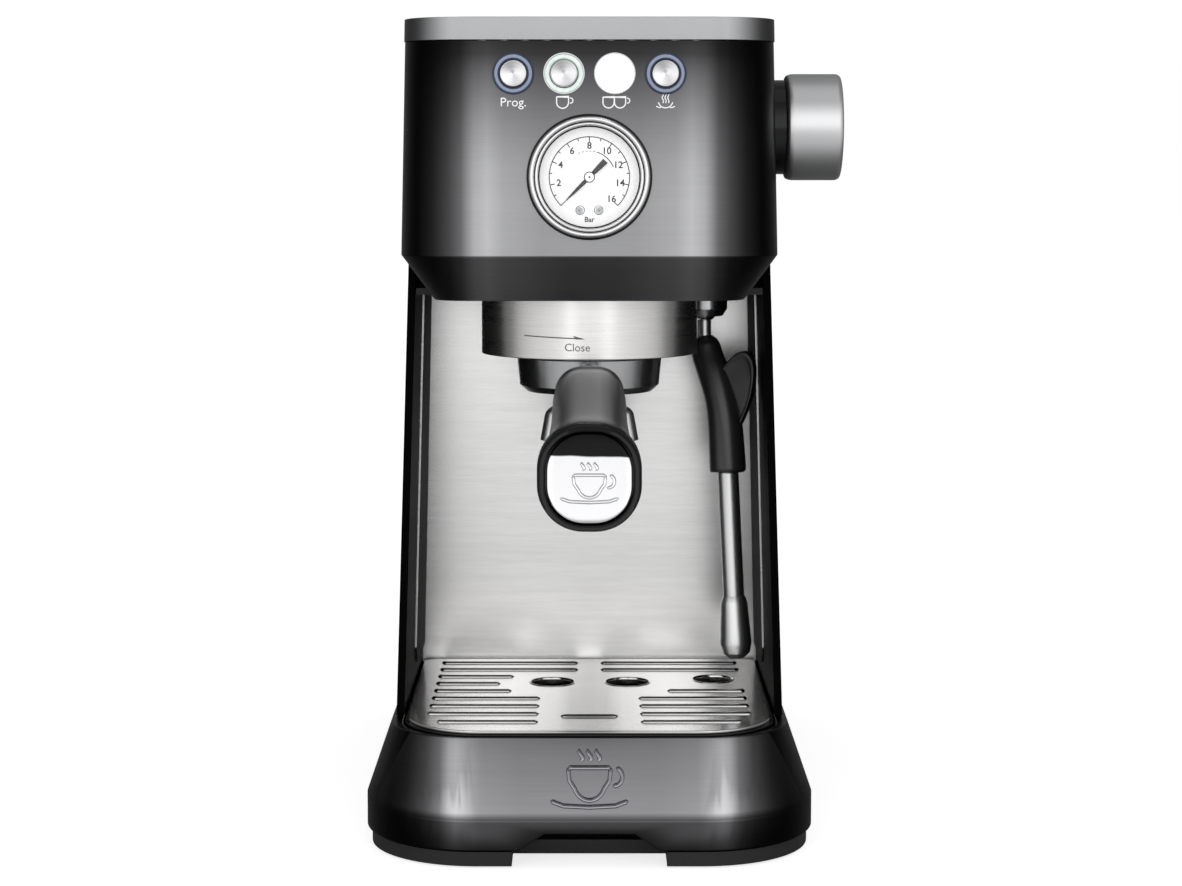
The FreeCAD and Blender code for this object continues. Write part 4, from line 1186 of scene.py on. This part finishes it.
# %% Screws in their places
SIDE_BY_SIDE = [(x, y) for x in (-1, 1) for y in (0, 1)]
UNDER = Matrix.Rotation(math.pi, 4, "X")
FORWARD = Matrix.Rotation(math.pi / 2, 4, "X")
SCREWS = {
    "base_screws": ([(x * 60.0, (90.0, -110.0)[y], -4.6) for x, y in SIDE_BY_SIDE], UNDER,
                    (3.9, 2.6, 1.7, 5.4)),
    "cup_tray_screws": ([(x * 54.0, (-126.0, 66.0)[y], 357.5) for x, y in SIDE_BY_SIDE], Matrix(),
                        (2.6, 1.2, 1.2, 8.5)),
    "dial_screws": ([(x * 4.2, GAUGE_Z - 14.0, 147.5) for x in (-1, 1)], FORWARD, (1.5, 0.8, 0.7, 0.5)),
}
KEYS = ("Head radius", "Head height", "Shank radius", "Shank length")
for node, (points, turn, measures) in SCREWS.items():
    seeds = bpy.data.meshes.new(node + "_points")
    seeds.from_pydata([[c * 0.001 for c in p] for p in points], [], [])
    made = grown(node + "_made", seeds, screw_tree("zinc"), {k: m * 0.001 for k, m in zip(KEYS, measures)})
    made.data.transform(turn)
    put(made, home[node], "stainless", node)
    print(node, len(points), "screws,", len(made.data.vertices), "points")

# %% [markdown]
# ## Cup warming tray
# The grille on top is a sheet of steel with long slots that let warm air up to the cups.

# %% Cup tray
tray = Builder()
slots = []
for k in range(11):
    x = (k - 5) * 10.6
    hole = arc(2.0, 0, 180, 8, (x, 58)) + arc(2.0, 180, 360, 8, (x, -118))
    slots.append(hole)
verts, faces = cut_sheet(soft_box(66, 66, -140, 78, 16, 10), slots, 1.3, 0.4,
                         Matrix.Translation((0, 0, 358.9)))
tray.add(verts, faces)
skirt = []
for inset, height in ((0.4, 359.2), (0.4, 356.6), (1.6, 356.6), (1.6, 359.2)):
    half = 66 - inset
    plan = soft_box(half, half, -140 + inset, 78 - inset, 16 - inset, 10 - inset)
    skirt.append([(x, y, height) for x, y in plan])
tray.rings(skirt, 0, None, False, True)
put(tray.make("tray_grille", "stainless"), "frame", "stainless", "cup_tray")

# %% [markdown]
# ## Stage, lights and camera
# The machine stands on a pale floor that runs on for metres, under two tall lamps at the
# sides, one above, and a soft bright room in front. Steel shows only what it mirrors, so the
# mirrored floor is dim close by, which gives round parts dark undersides, and bright farther
# out, where the upright sheets look. The camera stands level with the buttons and well back.

# %% Floor, room, lamps and camera
scene = bpy.context.scene
scene.view_settings.view_transform = "Standard"
floor_mesh = bpy.data.meshes.new("floor")
floor_mesh.from_pydata([(-6, -6, 0), (6, -6, 0), (6, 6, 0), (-6, 6, 0)], [], [(0, 1, 2, 3)])
pale = Paint("pale_floor")
speck = pale.noise(3.0)
tint = pale.mix(speck, [0.80, 0.80, 0.80, 1], [0.84, 0.84, 0.84, 1])
along, out, up = pale.axes(pale.place())
far = ((out * -1.0 - 0.20) * 3.2).limited()
matt = pale.node("ShaderNodeBsdfDiffuse", {}, {"Color": pale.mix(far, [0.28, 0.28, 0.28, 1],
                                                                 [0.66, 0.66, 0.66, 1])})
lift = pale.node("ShaderNodeEmission", {}, {"Color": pale.mix(far, [0, 0, 0, 1], [1, 1, 1, 1]),
                                            "Strength": 0.36})
dull = pale.node("ShaderNodeAddShader", {}, {0: matt.outputs[0], 1: lift.outputs[0]})
shown = pale.node("ShaderNodeBsdfDiffuse", {}, {"Color": tint})
shine = pale.node("ShaderNodeEmission", {}, {"Color": [1, 1, 1, 1], "Strength": 0.74})
bright = pale.node("ShaderNodeAddShader", {}, {0: shown.outputs[0], 1: shine.outputs[0]})
seen = pale.node("ShaderNodeLightPath", {}, {}).outputs["Is Camera Ray"]
either = pale.node("ShaderNodeMixShader", {}, {0: seen, 1: dull.outputs[0], 2: bright.outputs[0]})
pale.node("ShaderNodeOutputMaterial", {}, {0: either.outputs[0]})
floor_mesh.materials.append(pale.material)
floor = show("floor", floor_mesh, False)

world = bpy.data.worlds.new("studio")
world.use_nodes = True
scene.world = world
air = Paint("studio", world.node_tree)
way = air.node("ShaderNodeTexCoord", {}, {}).outputs["Generated"]
dx, dy, dz = air.axes(way)
facing = (dy * -1.0).limited()
overhead = ((dz - 0.42) * 2.2).limited()
level = facing * (1.32 - overhead * 1.05) + dz.limited().power(2.0) * 0.12 + 0.20
ray = air.node("ShaderNodeLightPath", {}, {}).outputs["Is Camera Ray"]
seen = Value(air, ray)
strength = seen * 1.0 + (1 - seen) * level
glow = air.node("ShaderNodeBackground", {}, {"Color": [1, 1, 1, 1], "Strength": strength})
air.node("ShaderNodeOutputWorld", {}, {0: glow.outputs[0]})


def softbox(name, place, aim, width, height, brightness):
    lamp = bpy.data.lights.new(name, "AREA")
    lamp.shape, lamp.size, lamp.size_y = "RECTANGLE", width, height
    lamp.energy = brightness * math.pi * width * height
    made = bpy.data.objects.new(name, lamp)
    made.location = place
    made.rotation_euler = (Vector(aim) - Vector(place)).to_track_quat("-Z", "Y").to_euler()
    scene.collection.objects.link(made)


softbox("left_box", (-0.55, -1.6, 0.45), (0, 0, 0.2), 0.30, 1.0, 0.5)
softbox("right_box", (0.55, -1.6, 0.45), (0, 0, 0.2), 0.30, 1.0, 0.5)
softbox("top_box", (0, -0.3, 1.7), (0, 0, 0.2), 1.0, 1.0, 0.3)

camera = bpy.data.cameras.new("camera")
camera.lens, camera.sensor_width = 77.48, 36.0
camera.shift_x, camera.shift_y = 0.00135, -0.0508
eye = bpy.data.objects.new("camera", camera)
eye.location = (0, -1.2210, 0.2983)
eye.rotation_euler = (math.radians(85.08), 0, 0)
scene.collection.objects.link(eye)
scene.camera = eye
